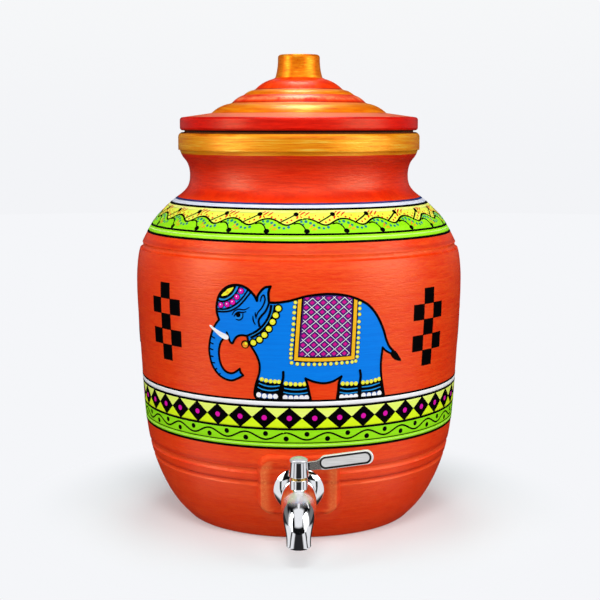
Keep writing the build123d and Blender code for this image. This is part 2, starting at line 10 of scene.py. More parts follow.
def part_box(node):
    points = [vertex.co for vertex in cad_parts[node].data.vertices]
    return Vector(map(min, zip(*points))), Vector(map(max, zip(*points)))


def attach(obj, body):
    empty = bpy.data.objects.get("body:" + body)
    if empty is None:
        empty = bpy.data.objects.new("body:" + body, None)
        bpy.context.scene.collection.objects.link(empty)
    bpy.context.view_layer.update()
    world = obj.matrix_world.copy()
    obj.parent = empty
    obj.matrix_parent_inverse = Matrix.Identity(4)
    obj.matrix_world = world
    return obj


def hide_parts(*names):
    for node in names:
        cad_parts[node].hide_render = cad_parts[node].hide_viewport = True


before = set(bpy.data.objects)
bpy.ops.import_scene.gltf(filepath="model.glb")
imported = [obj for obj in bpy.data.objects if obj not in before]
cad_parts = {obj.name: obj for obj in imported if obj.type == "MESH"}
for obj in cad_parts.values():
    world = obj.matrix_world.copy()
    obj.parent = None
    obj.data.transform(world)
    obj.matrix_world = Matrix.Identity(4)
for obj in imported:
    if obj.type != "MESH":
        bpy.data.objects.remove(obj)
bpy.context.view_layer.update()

# Studio
# White paper under the jar and a white backdrop behind it, with soft boxes at both sides of the
# camera, above it and behind the jar. The camera stands about a metre away and looks slightly down.


class Wire:
    """A node socket that takes part in arithmetic: sums and products add Math nodes to its tree."""

    def __init__(self, tree, socket=None):
        self.tree = tree
        self.socket = socket

    def node(self, kind, settings=None, inputs=None, out=0):
        """Adds a node: its settings first, then the values or links of its sockets."""
        made = self.tree.nodes.new(kind)
        for setting, value in (settings or {}).items():
            if setting == "stops":
                ramp = made.color_ramp.elements
                while len(ramp) < len(value):
                    ramp.new(0.5)
                for stop, (place, colour) in zip(ramp, value):
                    stop.position = place
                    stop.color = colour
            else:
                setattr(made, setting, value)
        for socket, value in (inputs or {}).items():
            if isinstance(value, Wire):
                self.tree.links.new(value.socket, made.inputs[socket])
            else:
                made.inputs[socket].default_value = value
        return Wire(self.tree, made.outputs[out])

    def math(self, operation, *others):
        return self.node("ShaderNodeMath", {"operation": operation}, dict(enumerate(others)))

    def __add__(self, other):
        return self.math("ADD", self, other)

    __radd__ = __add__

    def __sub__(self, other):
        return self.math("SUBTRACT", self, other)

    def __rsub__(self, other):
        return self.math("SUBTRACT", other, self)

    def __mul__(self, other):
        return self.math("MULTIPLY", self, other)

    __rmul__ = __mul__

    def __truediv__(self, other):
        return self.math("DIVIDE", self, other)

    def between(self, low, high):
        """0 up to low and 1 from high on, smooth in between; low may be the higher of the two."""
        held = ((self - low) / (high - low)).either(0.0).both(1.0)
        return held * held * (3.0 - 2.0 * held)

    def band(self, start, full, fading, end):
        """1 from full to fading and 0 outside start and end, smooth in between."""
        return self.between(start, full).both(self.between(end, fading))

    def both(self, other):
        return self.math("MINIMUM", self, other)

    def either(self, other):
        return self.math("MAXIMUM", self, other)

    def size(self):
        return self.math("ABSOLUTE", self)

    def reach(self, other):
        """The length of two offsets at right angles together."""
        return self.math("SQRT", self * self + other * other)

    def spot(self):
        """The place on the piece, in metres in the shared frame at rest."""
        return self.node("ShaderNodeTexCoord", out=3)

    def facing(self):
        """The three parts of the direction that the surface faces."""
        return self.node("ShaderNodeNewGeometry", out=1).parts()

    def rays(self):
        """Two masks: what the camera sees, and what something glossy mirrors."""
        seen = self.node("ShaderNodeLightPath")
        return seen, Wire(self.tree, seen.socket.node.outputs["Is Glossy Ray"])

    def parts(self):
        """The three parts of a place or a direction."""
        split = self.node("ShaderNodeSeparateXYZ", inputs={0: self}).socket.node
        return tuple(Wire(self.tree, part) for part in split.outputs)

    def noise(self, scale, detail, roughness):
        """Noise at this place, 0 to 1."""
        return self.node("ShaderNodeTexNoise", inputs={
            "Vector": self, "Scale": scale, "Detail": detail, "Roughness": roughness})

    def bump(self, strength, distance):
        """The dents of a surface that is as high as this wire says."""
        return self.node("ShaderNodeBump", inputs={
            "Strength": strength, "Distance": distance, "Height": self})

    def tint(self, first, second):
        """Mixes two colours, this wire being the share of the second."""
        inputs = {0: self, 6: first, 7: second}
        return self.node("ShaderNodeMix", {"data_type": "RGBA"}, inputs, out=2)

    def blend(self, first, second):
        """Mixes two shaders, this wire being the share of the second."""
        return self.node("ShaderNodeMixShader", inputs={0: self, 1: first, 2: second})


def srgb(*seen):
    """A colour written as it is seen on a screen, 0 to 255, as the linear colour a shader takes."""
    linear = [(v / 255 / 12.92) if v <= 10 else ((v / 255 + 0.055) / 1.055) ** 2.4 for v in seen]
    return (*linear, 1.0)


def new_material(name):
    """An empty material and the start of its wires."""
    material = bpy.data.materials.new(name)
    material.use_nodes = True
    material.node_tree.nodes.clear()
    return material, Wire(material.node_tree)


def show(wire, shader):
    """Links the finished shader to the material's or the world's output."""
    in_world = wire.tree == scene.world.node_tree
    output = wire.tree.nodes.new("ShaderNodeOutputWorld" if in_world else "ShaderNodeOutputMaterial")
    wire.tree.links.new(shader.socket, output.inputs["Surface"])


scene = bpy.context.scene
scene.view_settings.view_transform = "Standard"
scene.world = bpy.data.worlds.new("studio_air")
scene.world.use_nodes = True
scene.world.node_tree.nodes.clear()

lens = bpy.data.cameras.new("lens")
lens.sensor_width = 36.0
lens.lens = 78.0
camera = bpy.data.objects.new("camera", lens)
camera.location = (0.0009, -1.0445, 0.3134)
camera.rotation_euler = (math.radians(90 - 7.84), 0, 0)
scene.collection.objects.link(camera)
scene.camera = camera

# The air lights the jar from the camera's side and is dimmer behind the jar. Metal mirrors white
# walls at both sides and white overhead, with dark between them. The camera sees the backdrop.
air = Wire(scene.world.node_tree)
towards_side, towards_back, towards_up = air.node("ShaderNodeTexCoord").parts()
sideways = towards_side.size()
air_seen, air_mirrored = air.rays()
soft_dome = towards_back.between(-0.85, 0.25).tint(srgb(252, 252, 253), srgb(66, 67, 70))
side_walls = sideways.between(0.74, 0.84).both(towards_back.between(0.25, -0.10))
overhead = towards_up.between(0.24, 0.42).both(
    sideways.between(0.60, 0.42).both(towards_back.between(0.04, -0.16)).either(
        sideways.between(0.16, 0.05)))
back_corners = sideways.between(0.30, 0.45).both(towards_back.between(0.05, 0.25)).both(
    towards_up.between(0.50, 0.30))
dark_dome = side_walls.either(overhead * 0.96).either(back_corners * 0.19).tint(
    srgb(14, 15, 17), srgb(250, 251, 254))
strips = sideways.band(0.73, 0.78, 0.87, 0.92).both(towards_back.between(-0.20, -0.35)).both(
    towards_up.between(0.30, 0.14))
backdrop = towards_up.between(-0.05, 0.16).tint(srgb(243, 244, 247), srgb(247, 248, 249))
room_light, room_glint, room_seen = (
    air.node("ShaderNodeBackground", inputs={"Color": colour, "Strength": strength})
    for colour, strength in ((soft_dome, 1.02), (dark_dome, 0.95 + strips * 1.2), (backdrop, 1.0))
)
show(air, air_seen.blend(air_mirrored.blend(room_light, room_glint), room_seen))


def soft_box(name, place, aim, width, height, power):
    """A rectangular lamp at a place, turned to a point."""
    light = bpy.data.lights.new(name, "AREA")
    light.shape = "RECTANGLE"
    light.size = width
    light.size_y = height
    light.energy = power
    lamp = bpy.data.objects.new(name, light)
    lamp.location = place
    lamp.rotation_euler = (Vector(aim) - Vector(place)).to_track_quat("-Z", "Y").to_euler()
    scene.collection.objects.link(lamp)
    return lamp


# Where the lamps are turned to
jar_neck, jar_heart, jar_foot, lid_middle = (0, 0, 0.35), (0, 0, 0.17), (0, -0.1, 0.1), (0, 0, 0.33)
soft_box("box_left", (-0.98, -0.50, 0.64), jar_neck, 0.46, 0.95, 4.7)
soft_box("box_right", (0.98, -0.56, 0.64), jar_neck, 0.85, 0.95, 7.0)
soft_box("box_top", (0.0, 0.55, 1.30), jar_heart, 0.34, 0.6, 3.4).visible_glossy = False
# From above the camera: it draws the tap's shadow under it, and no shine
soft_box("box_front", (0.0, -0.95, 1.15), jar_foot, 0.5, 0.35, 5.4).visible_glossy = False
# A small lamp behind that only gleams on the turned steps of the lid
soft_box("box_gleam", (0.0, 0.52, 1.28), lid_middle, 0.30, 0.26, 3.8).visible_diffuse = False

# The floor is a wide disc of white paper. It gives the jar little light from further out.
floor_mesh = bpy.data.meshes.new("floor")
disc = bmesh.new()
bmesh.ops.create_circle(disc, cap_ends=True, radius=3.5, segments=96)
disc.to_mesh(floor_mesh)
disc.free()
floor = bpy.data.objects.new("floor", floor_mesh)
scene.collection.objects.link(floor)
floor_paper, paper = new_material("floor_paper")
floor_spot = paper.spot()
from_axis = paper.node("ShaderNodeVectorMath", {"operation": "LENGTH"}, {0: floor_spot}, out=1)
paper_seen, paper_mirrored = paper.rays()
lit_paper, dim_paper = (
    paper.node("ShaderNodeBsdfDiffuse", inputs={"Color": shade})
    for shade in (srgb(240, 250, 251), srgb(190, 190, 192))
)
far_paper, pale_paper, white_paper, dark_paper = (
    paper.node("ShaderNodeEmission", inputs={"Color": colour, "Strength": strength})
    for colour, strength in (
        (srgb(245, 246, 249), 0.12), (srgb(245, 246, 249), 0.90), (srgb(245, 246, 249), 1.0),
        (srgb(40, 40, 42), 1.0),
    )
)
# The camera sees the shadow near the jar, thinned with plain white, then white alone
seen_floor = (0.16 + from_axis.between(0.114, 0.235) * 0.84).blend(lit_paper, white_paper)
felt_floor = from_axis.between(0.13, 0.36).blend(dim_paper, far_paper)
# Metal mirrors white to both sides in front of the tap, and dark in the middle and behind
floor_x, floor_y, _ = floor_spot.parts()
off_side = floor_x.size() / (floor_x.reach(floor_y + 0.13) + 0.001)
pale_sides = off_side.between(0.42, 0.58).both(floor_y.between(-0.05, -0.11)).both(
    from_axis.between(0.126, 0.146)).both(
    off_side.between(0.80, 0.77).either(off_side.between(0.86, 0.89)))
mirrored_floor = pale_sides.blend(dark_paper, pale_paper)
show(paper, paper_seen.blend(paper_mirrored.blend(felt_floor, mirrored_floor), seen_floor))
floor_mesh.materials.append(floor_paper)

# Jar body
# Thrown terracotta, painted orange-red with a wide flat brush while the jar turned on the wheel,
# so that fine strokes run round it. The rim has a coat of gold. The inside and the foot are bare clay.

# Metres from the axis and the foot: the lips of the tooled grooves, the paint's limits, and the pad
groove_lips = (0.2198, 0.0622, 0.0502)
neck_paint_foot, gold_foot, mouth_edge = 0.2520, 0.2879, 0.3042
pad_level, pad_half_width, pad_half_height, pad_corner = 0.0455, 0.0285, 0.02325, 0.0090


def dress(material, *nodes):
    """Gives carried-over CAD nodes a material, in place of their plain ones."""
    for node in nodes:
        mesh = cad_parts[node].data
        mesh.materials.clear()
        mesh.materials.append(material)


def brush_marks(wire, place, around, grain, detail, roughness):
    """Marks of a brush held to the turning jar: around for how short, grain for how fine they are."""
    across, along, height, radius = place
    drawn_out = wire.node("ShaderNodeCombineXYZ", inputs={
        0: across / (radius + 0.0001) * around, 1: along / (radius + 0.0001) * around,
        2: (height + radius) * grain,
    })
    return drawn_out.noise(1.0, detail, roughness)


def thrown_paint(name, stroke_grain, fine_grain):
    """A material for turned and painted clay: its start, its place, and its brush strokes, 0 to 1."""
    material, wire = new_material(name)
    spot = wire.spot()
    across, along, height = spot.parts()
    place = (across, along, height, across.reach(along))
    strokes = brush_marks(wire, place, 3.4, stroke_grain, 4.0, 0.62)
    hairs = brush_marks(wire, place, 15.0, fine_grain, 3.0, 0.7)
    return material, wire, spot, place, strokes, hairs


def gilding(wire, place, strokes, *tones):
    """Gold paint wiped on with a brush, from the dark of its marks to the light."""
    wiped = brush_marks(wire, place, 2.6, 1300.0, 3.0, 0.6)
    stops = [(share, srgb(*tone)) for share, tone in zip((0.34, 0.45, 0.55, 0.66), tones)]
    return wire.node("ShaderNodeValToRGB", {"stops": stops}, {0: strokes * 0.35 + wiped * 0.65})


def raw_clay(mottle):
    """The colour of fired clay without paint."""
    return mottle.between(0.3, 0.7).tint(srgb(168, 92, 58), srgb(190, 112, 74))


def past_edge(across, up, half_width, half_height, corner):
    """How far a place is outside a plate with round corners; it is below 0 on the plate."""
    over_side = (across.size() - (half_width - corner)).either(0.0)
    over_top = (up.size() - (half_height - corner)).either(0.0)
    return over_side.reach(over_top) - corner


def surface(wire, sockets):
    """Ends a material with a surface that has these values."""
    show(wire, wire.node("ShaderNodeBsdfPrincipled", inputs=sockets))


terracotta, clay, clay_spot, clay_place, strokes, hairs = thrown_paint(
    "painted_terracotta", 380.0, 900.0)
clay_x, clay_y, clay_z, clay_r = clay_place
mottle = clay_spot.noise(14.0, 2.0, 0.5)
speckle = clay_spot.noise(900.0, 1.0, 0.5)
orange = (strokes * 0.40 + hairs * 0.60).between(0.34, 0.66).tint(srgb(234, 47, 0), srgb(246, 76, 11))
orange = (mottle.between(0.35, 0.7) * 0.35).tint(orange, srgb(246, 50, 4))
# The neck took a second coat and is redder
neck_marks = brush_marks(clay, clay_place, 5.0, 900.0, 3.0, 0.65).between(0.38, 0.62)
neck_red = neck_marks.tint(srgb(200, 17, 0), srgb(228, 38, 2))
orange = (clay_z.between(neck_paint_foot, neck_paint_foot + 0.007) * 0.80).tint(orange, neck_red)
# Painted shade in the turned grooves, above each small lip, and a painted highlight on the lips
for lip in groove_lips:
    painted_crease_shade = clay_z.band(lip - 0.0010, lip + 0.0006, lip + 0.0012, lip + 0.0036) * 0.52
    lip_highlight = clay_z.band(lip - 0.0050, lip - 0.0030, lip - 0.0020, lip - 0.0006) * 0.16
    orange = painted_crease_shade.tint(orange, srgb(190, 28, 4))
    orange = lip_highlight.tint(orange, srgb(255, 122, 60))
# The pad's face is painted a darker red. Its upright edges are painted lighter on the rounding, a painted
# highlight, with rubbed flecks of thin paint
pad_edge = past_edge(clay_x, clay_z - pad_level, pad_half_width, pad_half_height, pad_corner)
at_front = clay_y.between(-0.085, -0.095)
upright_edge = clay_x.size().between(0.017, 0.024)
rubbed_and_highlight = pad_edge.band(-0.0090, -0.0035, -0.0012, 0.0).both(at_front).both(upright_edge)
flecks = clay_spot.noise(620.0, 3.0, 0.7)
orange = (pad_edge.between(-0.0050, -0.0100).both(at_front) * 0.22).tint(orange, srgb(176, 28, 4))
orange = (rubbed_and_highlight * (0.42 + flecks.between(0.50, 0.66) * 0.50)).tint(orange, srgb(255, 138, 74))
# Gold on the rim, with its brushed edge, and dark brown on the top of the mouth where the lid rests: a
# painted shade for the gap under the lid
on_rim = (clay_z + (strokes - 0.5) * 0.0009).between(gold_foot, gold_foot + 0.0005)
gold = gilding(
    clay, clay_place, strokes, (234, 114, 4), (252, 146, 8), (255, 166, 20), (255, 206, 80))
coat = on_rim.tint(orange, gold)
coat = clay_z.between(mouth_edge - 0.0006, mouth_edge).tint(coat, srgb(104, 44, 24))
# Bare clay inside and under the foot: where the surface faces the axis or down
face_x, face_y, face_z = clay.facing()
inward = ((clay_x * face_x + clay_y * face_y) / (clay_r + 0.0001)).between(-0.15, -0.3)
inside = inward.both(clay_z.between(0.3025, 0.3005))
floor_inside = face_z.between(0.5, 0.8).both(clay_z.between(0.05, 0.045)).both(
    clay_r.between(0.105, 0.1))
under = face_z.between(-0.8, -0.95).both(clay_z.between(0.002, 0.001))
bare = inside.either(floor_inside).either(under)
coat = bare.tint(coat, raw_clay(mottle))
pad_step = pad_edge.band(-0.0040, -0.0010, 0.0030, 0.0060).both(at_front)
surface(clay, {
    "Base Color": coat, "Metallic": on_rim.both(1 - bare) * 0.30,
    "Roughness": 0.33 + (strokes - 0.5) * 0.22 + bare * 0.45 + pad_step * 0.30,
    "Specular IOR Level": 0.62, "Specular Tint": (1.0, 0.82, 0.48, 1.0),
    "Normal": (strokes * 0.34 + hairs * 0.66 + speckle * 0.10).bump(0.72, 0.0006),
})
dress(terracotta, "jar_body")

# Stripes of the painted bands
# Enamel laid on the turning jar with a round brush: a narrow band at the shoulder and a wider one on
# the belly. Each colour is a thin coat on the clay, one or two tenths of a millimetre thick.

jar_skin = BVHTree.FromObject(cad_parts["jar_body"], bpy.context.evaluated_depsgraph_get())
wall_table = {}


def wall(height):
    """The jar's outer radius in metres at a height in millimetres, read from the CAD surface."""
    low = math.floor(height)
    for level in (low, low + 1):
        if level not in wall_table:
            # Rays at the sides and the back, clear of the pad
            reaches = []
            for turn in range(24):
                angle = math.radians(100 + turn * 7.3)
                out = Vector((math.sin(angle), -math.cos(angle), 0))
                hit = jar_skin.ray_cast(out * 0.3 + Vector((0, 0, level / 1000)), -out)[0]
                reaches.append(hit.xy.length)
            wall_table[level] = max(reaches)
    share = height - low
    return wall_table[low] * (1 - share) + wall_table[low + 1] * share


def on_wall(angle, height, lift):
    """The point of the jar at an angle in degrees from the front and a height in millimetres."""
    radius = wall(height) + lift / 1000
    turn = math.radians(angle)
    return Vector((radius * math.sin(turn), -radius * math.cos(turn), height / 1000))


def enamel(name, colour, worn, shine=0.42, gleam=0.14):
    """Brushed enamel: one colour with a second showing in its strokes, and a soft gloss."""
    material, wire, _, _, strokes, hairs = thrown_paint(f"{name}_enamel", 700.0, 2600.0)
    grain = strokes * 0.5 + hairs * 0.5
    surface(wire, {
        "Base Color": grain.between(0.38, 0.66).tint(srgb(*colour), srgb(*worn)),
        "Roughness": shine + (strokes - 0.5) * 0.12, "Specular IOR Level": gleam,
        "Normal": grain.bump(0.18, 0.0004),
    })
    return material


def into_scene(name, mesh, material, body):
    """Makes a smooth-shaded piece of a mesh, with its material, riding on a body."""
    made = bpy.data.objects.new(name, mesh)
    mesh.materials.append(material)
    mesh.shade_smooth()
    scene.collection.objects.link(made)
    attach(made, body)
    return made


def piece(name, shape, material, body):
    """Makes a piece of a finished shape."""
    mesh = bpy.data.meshes.new(name)
    shape.to_mesh(mesh)
    shape.free()
    return into_scene(name, mesh, material, body)


def hoop(name, columns, material):
    """A coat of paint right round the jar: columns of points, each joined to the next one."""
    paint = bmesh.new()
    grid = [[paint.verts.new(point) for point in column] for column in columns]
    for here, after in zip(grid, grid[1:] + grid[:1]):
        for step in range(len(here) - 1):
            paint.faces.new((here[step], after[step], after[step + 1], here[step + 1]))
    piece(name, paint, material, "jar")


def stripe(name, low, high, lift, material):
    """A band of enamel right round the jar, between two heights, with its edges turned in."""
    rows = max(2, math.ceil((high - low) / 1.2))
    levels = [low + (high - low) * step / rows for step in range(rows + 1)]
    ring = [(low, -0.12)] + [(level, lift) for level in levels] + [(high, -0.12)]
    turns = 288
    columns = [
        [on_wall(360 * turn / turns, level, out) for level, out in ring] for turn in range(turns)
    ]
    hoop(name, columns, material)


black = enamel("black", (1, 1, 2), (6, 5, 6), 0.5, 0.02)
white = enamel("white", (254, 254, 255), (236, 237, 242))
cool_white = enamel("cool_white", (226, 233, 247), (208, 218, 238))
navy = enamel("navy", (18, 34, 92), (34, 70, 140))
lime = enamel("lime", (220, 252, 4), (226, 254, 40))
pale_lime = enamel("pale_lime", (232, 254, 96), (240, 255, 130))
lemon = enamel("lemon", (230, 246, 66), (238, 250, 96))
# Paler lemon, for a painted highlight along the top of the shoulder ground
lemon_highlight = enamel("lemon_highlight", (244, 253, 140), (240, 250, 110))
leaf = enamel("leaf", (144, 228, 6), (160, 238, 30))
bright_leaf = enamel("bright_leaf", (150, 236, 8), (170, 244, 40))
pale_leaf = enamel("pale_leaf", (196, 250, 110), (210, 252, 140))

# Lower and upper edge of each stripe and its lift off the clay, in millimetres, from the top down
shoulder_band = (
    ("shoulder_line_navy", 252.9, 254.1, 0.16, navy),
    ("shoulder_line_white", 250.5, 253.0, 0.12, cool_white),
    ("shoulder_line_top", 249.3, 250.7, 0.18, black),
    ("shoulder_ground_lemon", 233.4, 249.5, 0.08, lemon),
    # A painted highlight: paler lemon along the top of the ground
    ("shoulder_ground_pale", 247.2, 249.5, 0.11, lemon_highlight),
    ("shoulder_line_middle", 232.3, 233.7, 0.20, black),
    ("shoulder_stripe_green", 228.2, 232.5, 0.12, bright_leaf),
    ("shoulder_stripe_light", 230.2, 231.0, 0.18, pale_leaf),
    ("shoulder_line_bottom", 226.9, 228.45, 0.18, black),
)
belly_band = (
    ("belly_line_top", 112.9, 114.3, 0.18, black),
    ("belly_stripe_white", 109.5, 113.1, 0.12, white),
    ("belly_line_upper", 108.0, 109.7, 0.18, black),
    ("belly_ground_lime", 92.9, 100.7, 0.08, lime),
    ("belly_ground_pale", 100.5, 108.2, 0.08, pale_lime),
    ("belly_line_middle", 91.5, 93.1, 0.22, black),
    ("belly_ground_green", 81.9, 91.7, 0.08, leaf),
    ("belly_line_thin", 81.55, 82.2, 0.18, black),
    ("belly_stripe_green", 78.5, 81.7, 0.12, bright_leaf),
    ("belly_stripe_light", 79.8, 80.35, 0.18, pale_leaf),
    ("belly_line_bottom", 77.0, 78.7, 0.20, black),
)
for name, low, high, lift, material in shoulder_band + belly_band:
    stripe(name, low, high, lift, material)

# Vine on the shoulder
# A creeper drawn freehand with a fine brush: a black stem that waves between yellow and green, with
# berries on short twigs, red buds above and blue dots below. It has the same sprig 25 times.


class Brushwork:
    """Shapes drawn flat in millimetres, along the jar and up it, that are then laid on its wall."""

    def __init__(self, angle=0.0, height=0.0, reference=129.0):
        self.paint = bmesh.new()
        self.angle = angle
        self.height = height
        self.reference = reference

    def lay(self, flat, faces, lift):
        """Puts flat points on the wall and turns the open edge in to the clay."""
        verts = [
            self.paint.verts.new(on_wall(
                self.angle + math.degrees(u / self.reference), self.height + v, lift))
            for u, v in flat
        ]
        made = [
            self.paint.faces.new([verts[corner] for corner in face])
            for face in faces if len(set(face)) > 2
        ]
        edges = {edge for face in made for edge in face.edges if len(edge.link_faces) == 1}
        for edge in edges:
            edge.smooth = False
        sunk = bmesh.ops.extrude_edge_only(self.paint, edges=list(edges))["geom"]
        for vert in (part for part in sunk if isinstance(part, bmesh.types.BMVert)):
            radius = vert.co.xy.length
            vert.co.xy *= (radius - (lift + 0.1) / 1000) / radius

    def fill(self, outline, lift, grain=3.0):
        """A filled shape, with inner points so that it follows the wall."""
        outline = finely(outline + outline[:1], grain)[:-1]
        lows = [min(point[axis] for point in outline) for axis in (0, 1)]
        highs = [max(point[axis] for point in outline) for axis in (0, 1)]
        inner = []
        if max(high - low for low, high in zip(lows, highs)) > grain * 1.5:
            for column in range(1, math.ceil((highs[0] - lows[0]) / grain)):
                for row in range(1, math.ceil((highs[1] - lows[1]) / grain)):
                    spot = (lows[0] + column * grain, lows[1] + row * grain)
                    if clear_of(spot, outline, grain * 0.3):
                        inner.append(spot)
        points = [Vector(point) for point in list(outline) + inner]
        count = len(outline)
        rim = [(step, (step + 1) % count) for step in range(count)]
        flat, _, faces, _, _, _ = delaunay_2d_cdt(points, rim, [], 1, 1e-4)
        self.lay([tuple(point) for point in flat], faces, lift)

    def stroke(self, line, width, lift, closed=False, taper=0.0):
        """A brush stroke along a line; taper thins it towards both ends."""
        line = finely(line, 3.0)
        count = len(line)
        sides = []
        for step, (u, v) in enumerate(line):
            before = line[(step - 1) % count] if closed or step else line[0]
            after = line[(step + 1) % count] if closed or step < count - 1 else line[-1]
            run = math.hypot(after[0] - before[0], after[1] - before[1]) or 1.0
            across = (-(after[1] - before[1]) / run, (after[0] - before[0]) / run)
            share = 1.0
            if taper and not closed:
                share = 1 - taper * (2 * step / (count - 1) - 1) ** 2
            half = width * share / 2
            sides.append((u + across[0] * half, v + across[1] * half))
            sides.append((u - across[0] * half, v - across[1] * half))
        faces = []
        for step in range(count if closed else count - 1):
            here, after = 2 * step, 2 * ((step + 1) % count)
            faces.append((here, here + 1, after + 1, after))
        self.lay(sides, faces, lift)

    def dot(self, u, v, radius, lift, squash=1.0, sides=18):
        """A round dab of paint."""
        ring = [
            (u + radius * math.cos(math.tau * step / sides),
             v + radius * squash * math.sin(math.tau * step / sides))
            for step in range(sides)
        ]
        self.lay([(u, v)] + ring, [(0, step + 1, (step + 1) % sides + 1) for step in range(sides)], lift)

    def finish(self, name, material):
        """Makes a piece of all the shapes."""
        bmesh.ops.recalc_face_normals(self.paint, faces=self.paint.faces)
        return piece(name, self.paint, material, "jar")


def finely(line, grain):
    """The same line with no step longer than the grain, so that paint follows the curve of the wall."""
    finer = []
    for (u0, v0), (u1, v1) in zip(line, line[1:]):
        parts = max(1, math.ceil(math.hypot(u1 - u0, v1 - v0) / grain))
        finer += [(u0 + (u1 - u0) * part / parts, v0 + (v1 - v0) * part / parts) for part in range(parts)]
    return finer + [line[-1]]


def clear_of(spot, outline, margin):
    """Whether a spot is inside an outline and further than a margin from its edge."""
    inside = False
    for (u0, v0), (u1, v1) in zip(outline, outline[1:] + outline[:1]):
        if (v0 > spot[1]) != (v1 > spot[1]) and spot[0] < (u1 - u0) * (spot[1] - v0) / (v1 - v0) + u0:
            inside = not inside
        _, share = intersect_point_line(
            Vector((*spot, 0)), Vector((u0, v0, 0)), Vector((u1, v1, 0)))
        share = min(1.0, max(0.0, share))
        near = (u0 + (u1 - u0) * share, v0 + (v1 - v0) * share)
        if math.hypot(spot[0] - near[0], spot[1] - near[1]) < margin:
            return False
    return inside


def flowing(points, closed=False, fineness=6):
    """A smooth line through a row of points."""
    if closed:
        guides = [points[-1], *points, *points[:2]]
    else:
        run_in = [2 * near - far for near, far in zip(points[0], points[1])]
        run_out = [2 * near - far for near, far in zip(points[-1], points[-2])]
        guides = [run_in, *points, run_out]
    line = []
    for stretch in zip(guides, guides[1:], guides[2:], guides[3:]):
        for part in range(fineness):
            share = part / fineness
            line.append(tuple(
                0.5 * (2 * b + (c - a) * share + (2 * a - 5 * b + 4 * c - d) * share * share
                       + (3 * b - 3 * c + d - a) * share ** 3)
                for a, b, c, d in zip(*stretch)
            ))
    if not closed:
        line.append(tuple(points[-1]))
    return line


def flick(brush, start, first, last, bend, width, lift, taper=0.0):
    """A short stroke from one place to another, with its middle bent up or down."""
    (u0, v0), (u1, v1) = first, last
    middle = (start + (u0 + u1) / 2, (v0 + v1) / 2 + bend)
    brush.stroke([(start + u0, v0), middle, (start + u1, v1)], width, lift, taper=taper)


sprigs = 25
sprig_steps = 16
vine_reference = 108.0
sprig_length = math.radians(360 / sprigs) * vine_reference
vine_start, vine_middle, vine_swing, green_foot = 2.8, 241.4, 2.15, 233.4


def vine_height(u):
    """How high the stem is above the vine's middle, at a distance along one sprig from a crest."""
    turn = math.tau * u / sprig_length
    return vine_swing * math.cos(turn - 0.22 * math.sin(turn))


# Green below the stem, in six rows, and the stem itself
stem_line = [
    (step / sprig_steps * sprig_length, vine_height(step % sprig_steps / sprig_steps * sprig_length))
    for step in range(sprigs * sprig_steps)
]
green_columns = [
    [
        on_wall(
            vine_start + math.degrees(u / vine_reference),
            green_foot + (vine_middle + v - green_foot) * row / 6, 0.13)
        for row in range(7)
    ]
    for u, v in stem_line
]
hoop("vine_ground_green", green_columns, leaf)
stem, berries, buds, dew, petals = (
    Brushwork(vine_start, vine_middle, vine_reference) for _ in range(5)
)
stem.stroke(stem_line, 1.1, 0.20, closed=True)
for turn in range(sprigs):
    start = turn * sprig_length
    wobble = math.sin(turn * 2.3) * 0.25
    for width, twig in (
        (0.9, [(-8.9, -1.4), (-5.4, -0.9), (-2.4, -2.5), (-0.2, -5.9)]),
        (0.85, [(7.7, -0.9), (12.0, 1.3), (16.0, 3.2), (19.6, 5.1)]),
    ):
        stem.stroke([(start + u, v) for u, v in flowing(twig)], width, 0.22)
    berries.dot(start + 0.2, -6.2 + wobble * 0.3, 1.95, 0.26, 0.80)
    berries.dot(start + 19.9, 5.2, 1.85, 0.26, 0.76)
    for first, last, width in (
        ((-4.6, 4.4), (-0.4, 6.9), 1.05), ((-1.2, 4.0), (2.8, 6.6), 0.95), ((-5.6, 5.9), (-3.2, 7.1), 0.8),
    ):
        flick(buds, start, first, last, 0.2 + wobble, width, 0.2, taper=0.5)
    for u, v, size in (
        (-6.2, 3.4, 0.85), (-3.2, 3.2, 0.55), (2.2, 3.3, 0.8), (5.0, 2.3, 0.7), (7.0, 4.2, 0.5),
        (9.4, 1.6, 0.8), (12.6, 3.2, 0.55), (13.8, -0.2, 0.75), (16.8, 1.2, 0.8), (20.6, 2.6, 0.7),
        (23.2, 3.6, 0.55),
    ):
        buds.dot(start + u, v + wobble * 0.4, size, 0.2, 0.85, 10)
    for u, v, size in (
        (-3.4, 0.2, 0.95), (-0.2, 0.3, 1.15), (2.9, -0.7, 1.05), (5.2, -2.2, 1.0), (8.6, -3.9, 1.0),
        (11.8, -4.3, 0.95), (15.0, -3.6, 1.05), (-2.2, -1.6, 0.75),
    ):
        dew.dot(start + u, v - wobble * 0.3, size, 0.2, 0.85, 12)
    for first, last, width in (
        ((1.6, -4.4), (4.8, -2.6), 0.8), ((3.4, -5.6), (6.6, -3.9), 0.8), ((2.8, -2.8), (4.6, -1.8), 0.7),
        ((5.4, -5.7), (7.4, -4.7), 0.6),
    ):
        flick(petals, start, first, last, 0.15, width, 0.19, taper=0.4)
stem.finish("vine_stem", black)
berries.finish("vine_berries", black)
buds.finish("vine_buds", enamel("vermilion", (212, 30, 24), (230, 84, 30)))
dew.finish("vine_dew", enamel("teal", (14, 138, 112), (26, 112, 150)))
amber = enamel("amber", (236, 128, 24), (246, 176, 50))
petals.finish("vine_petals", amber)

# Lozenges and wave on the belly
# Forty-three black lozenges stand tip to tip on lime, each with a pink dot. Below them a black wave
# runs in the green with a dot in each bend. Both are stencilled and touched up by brush.

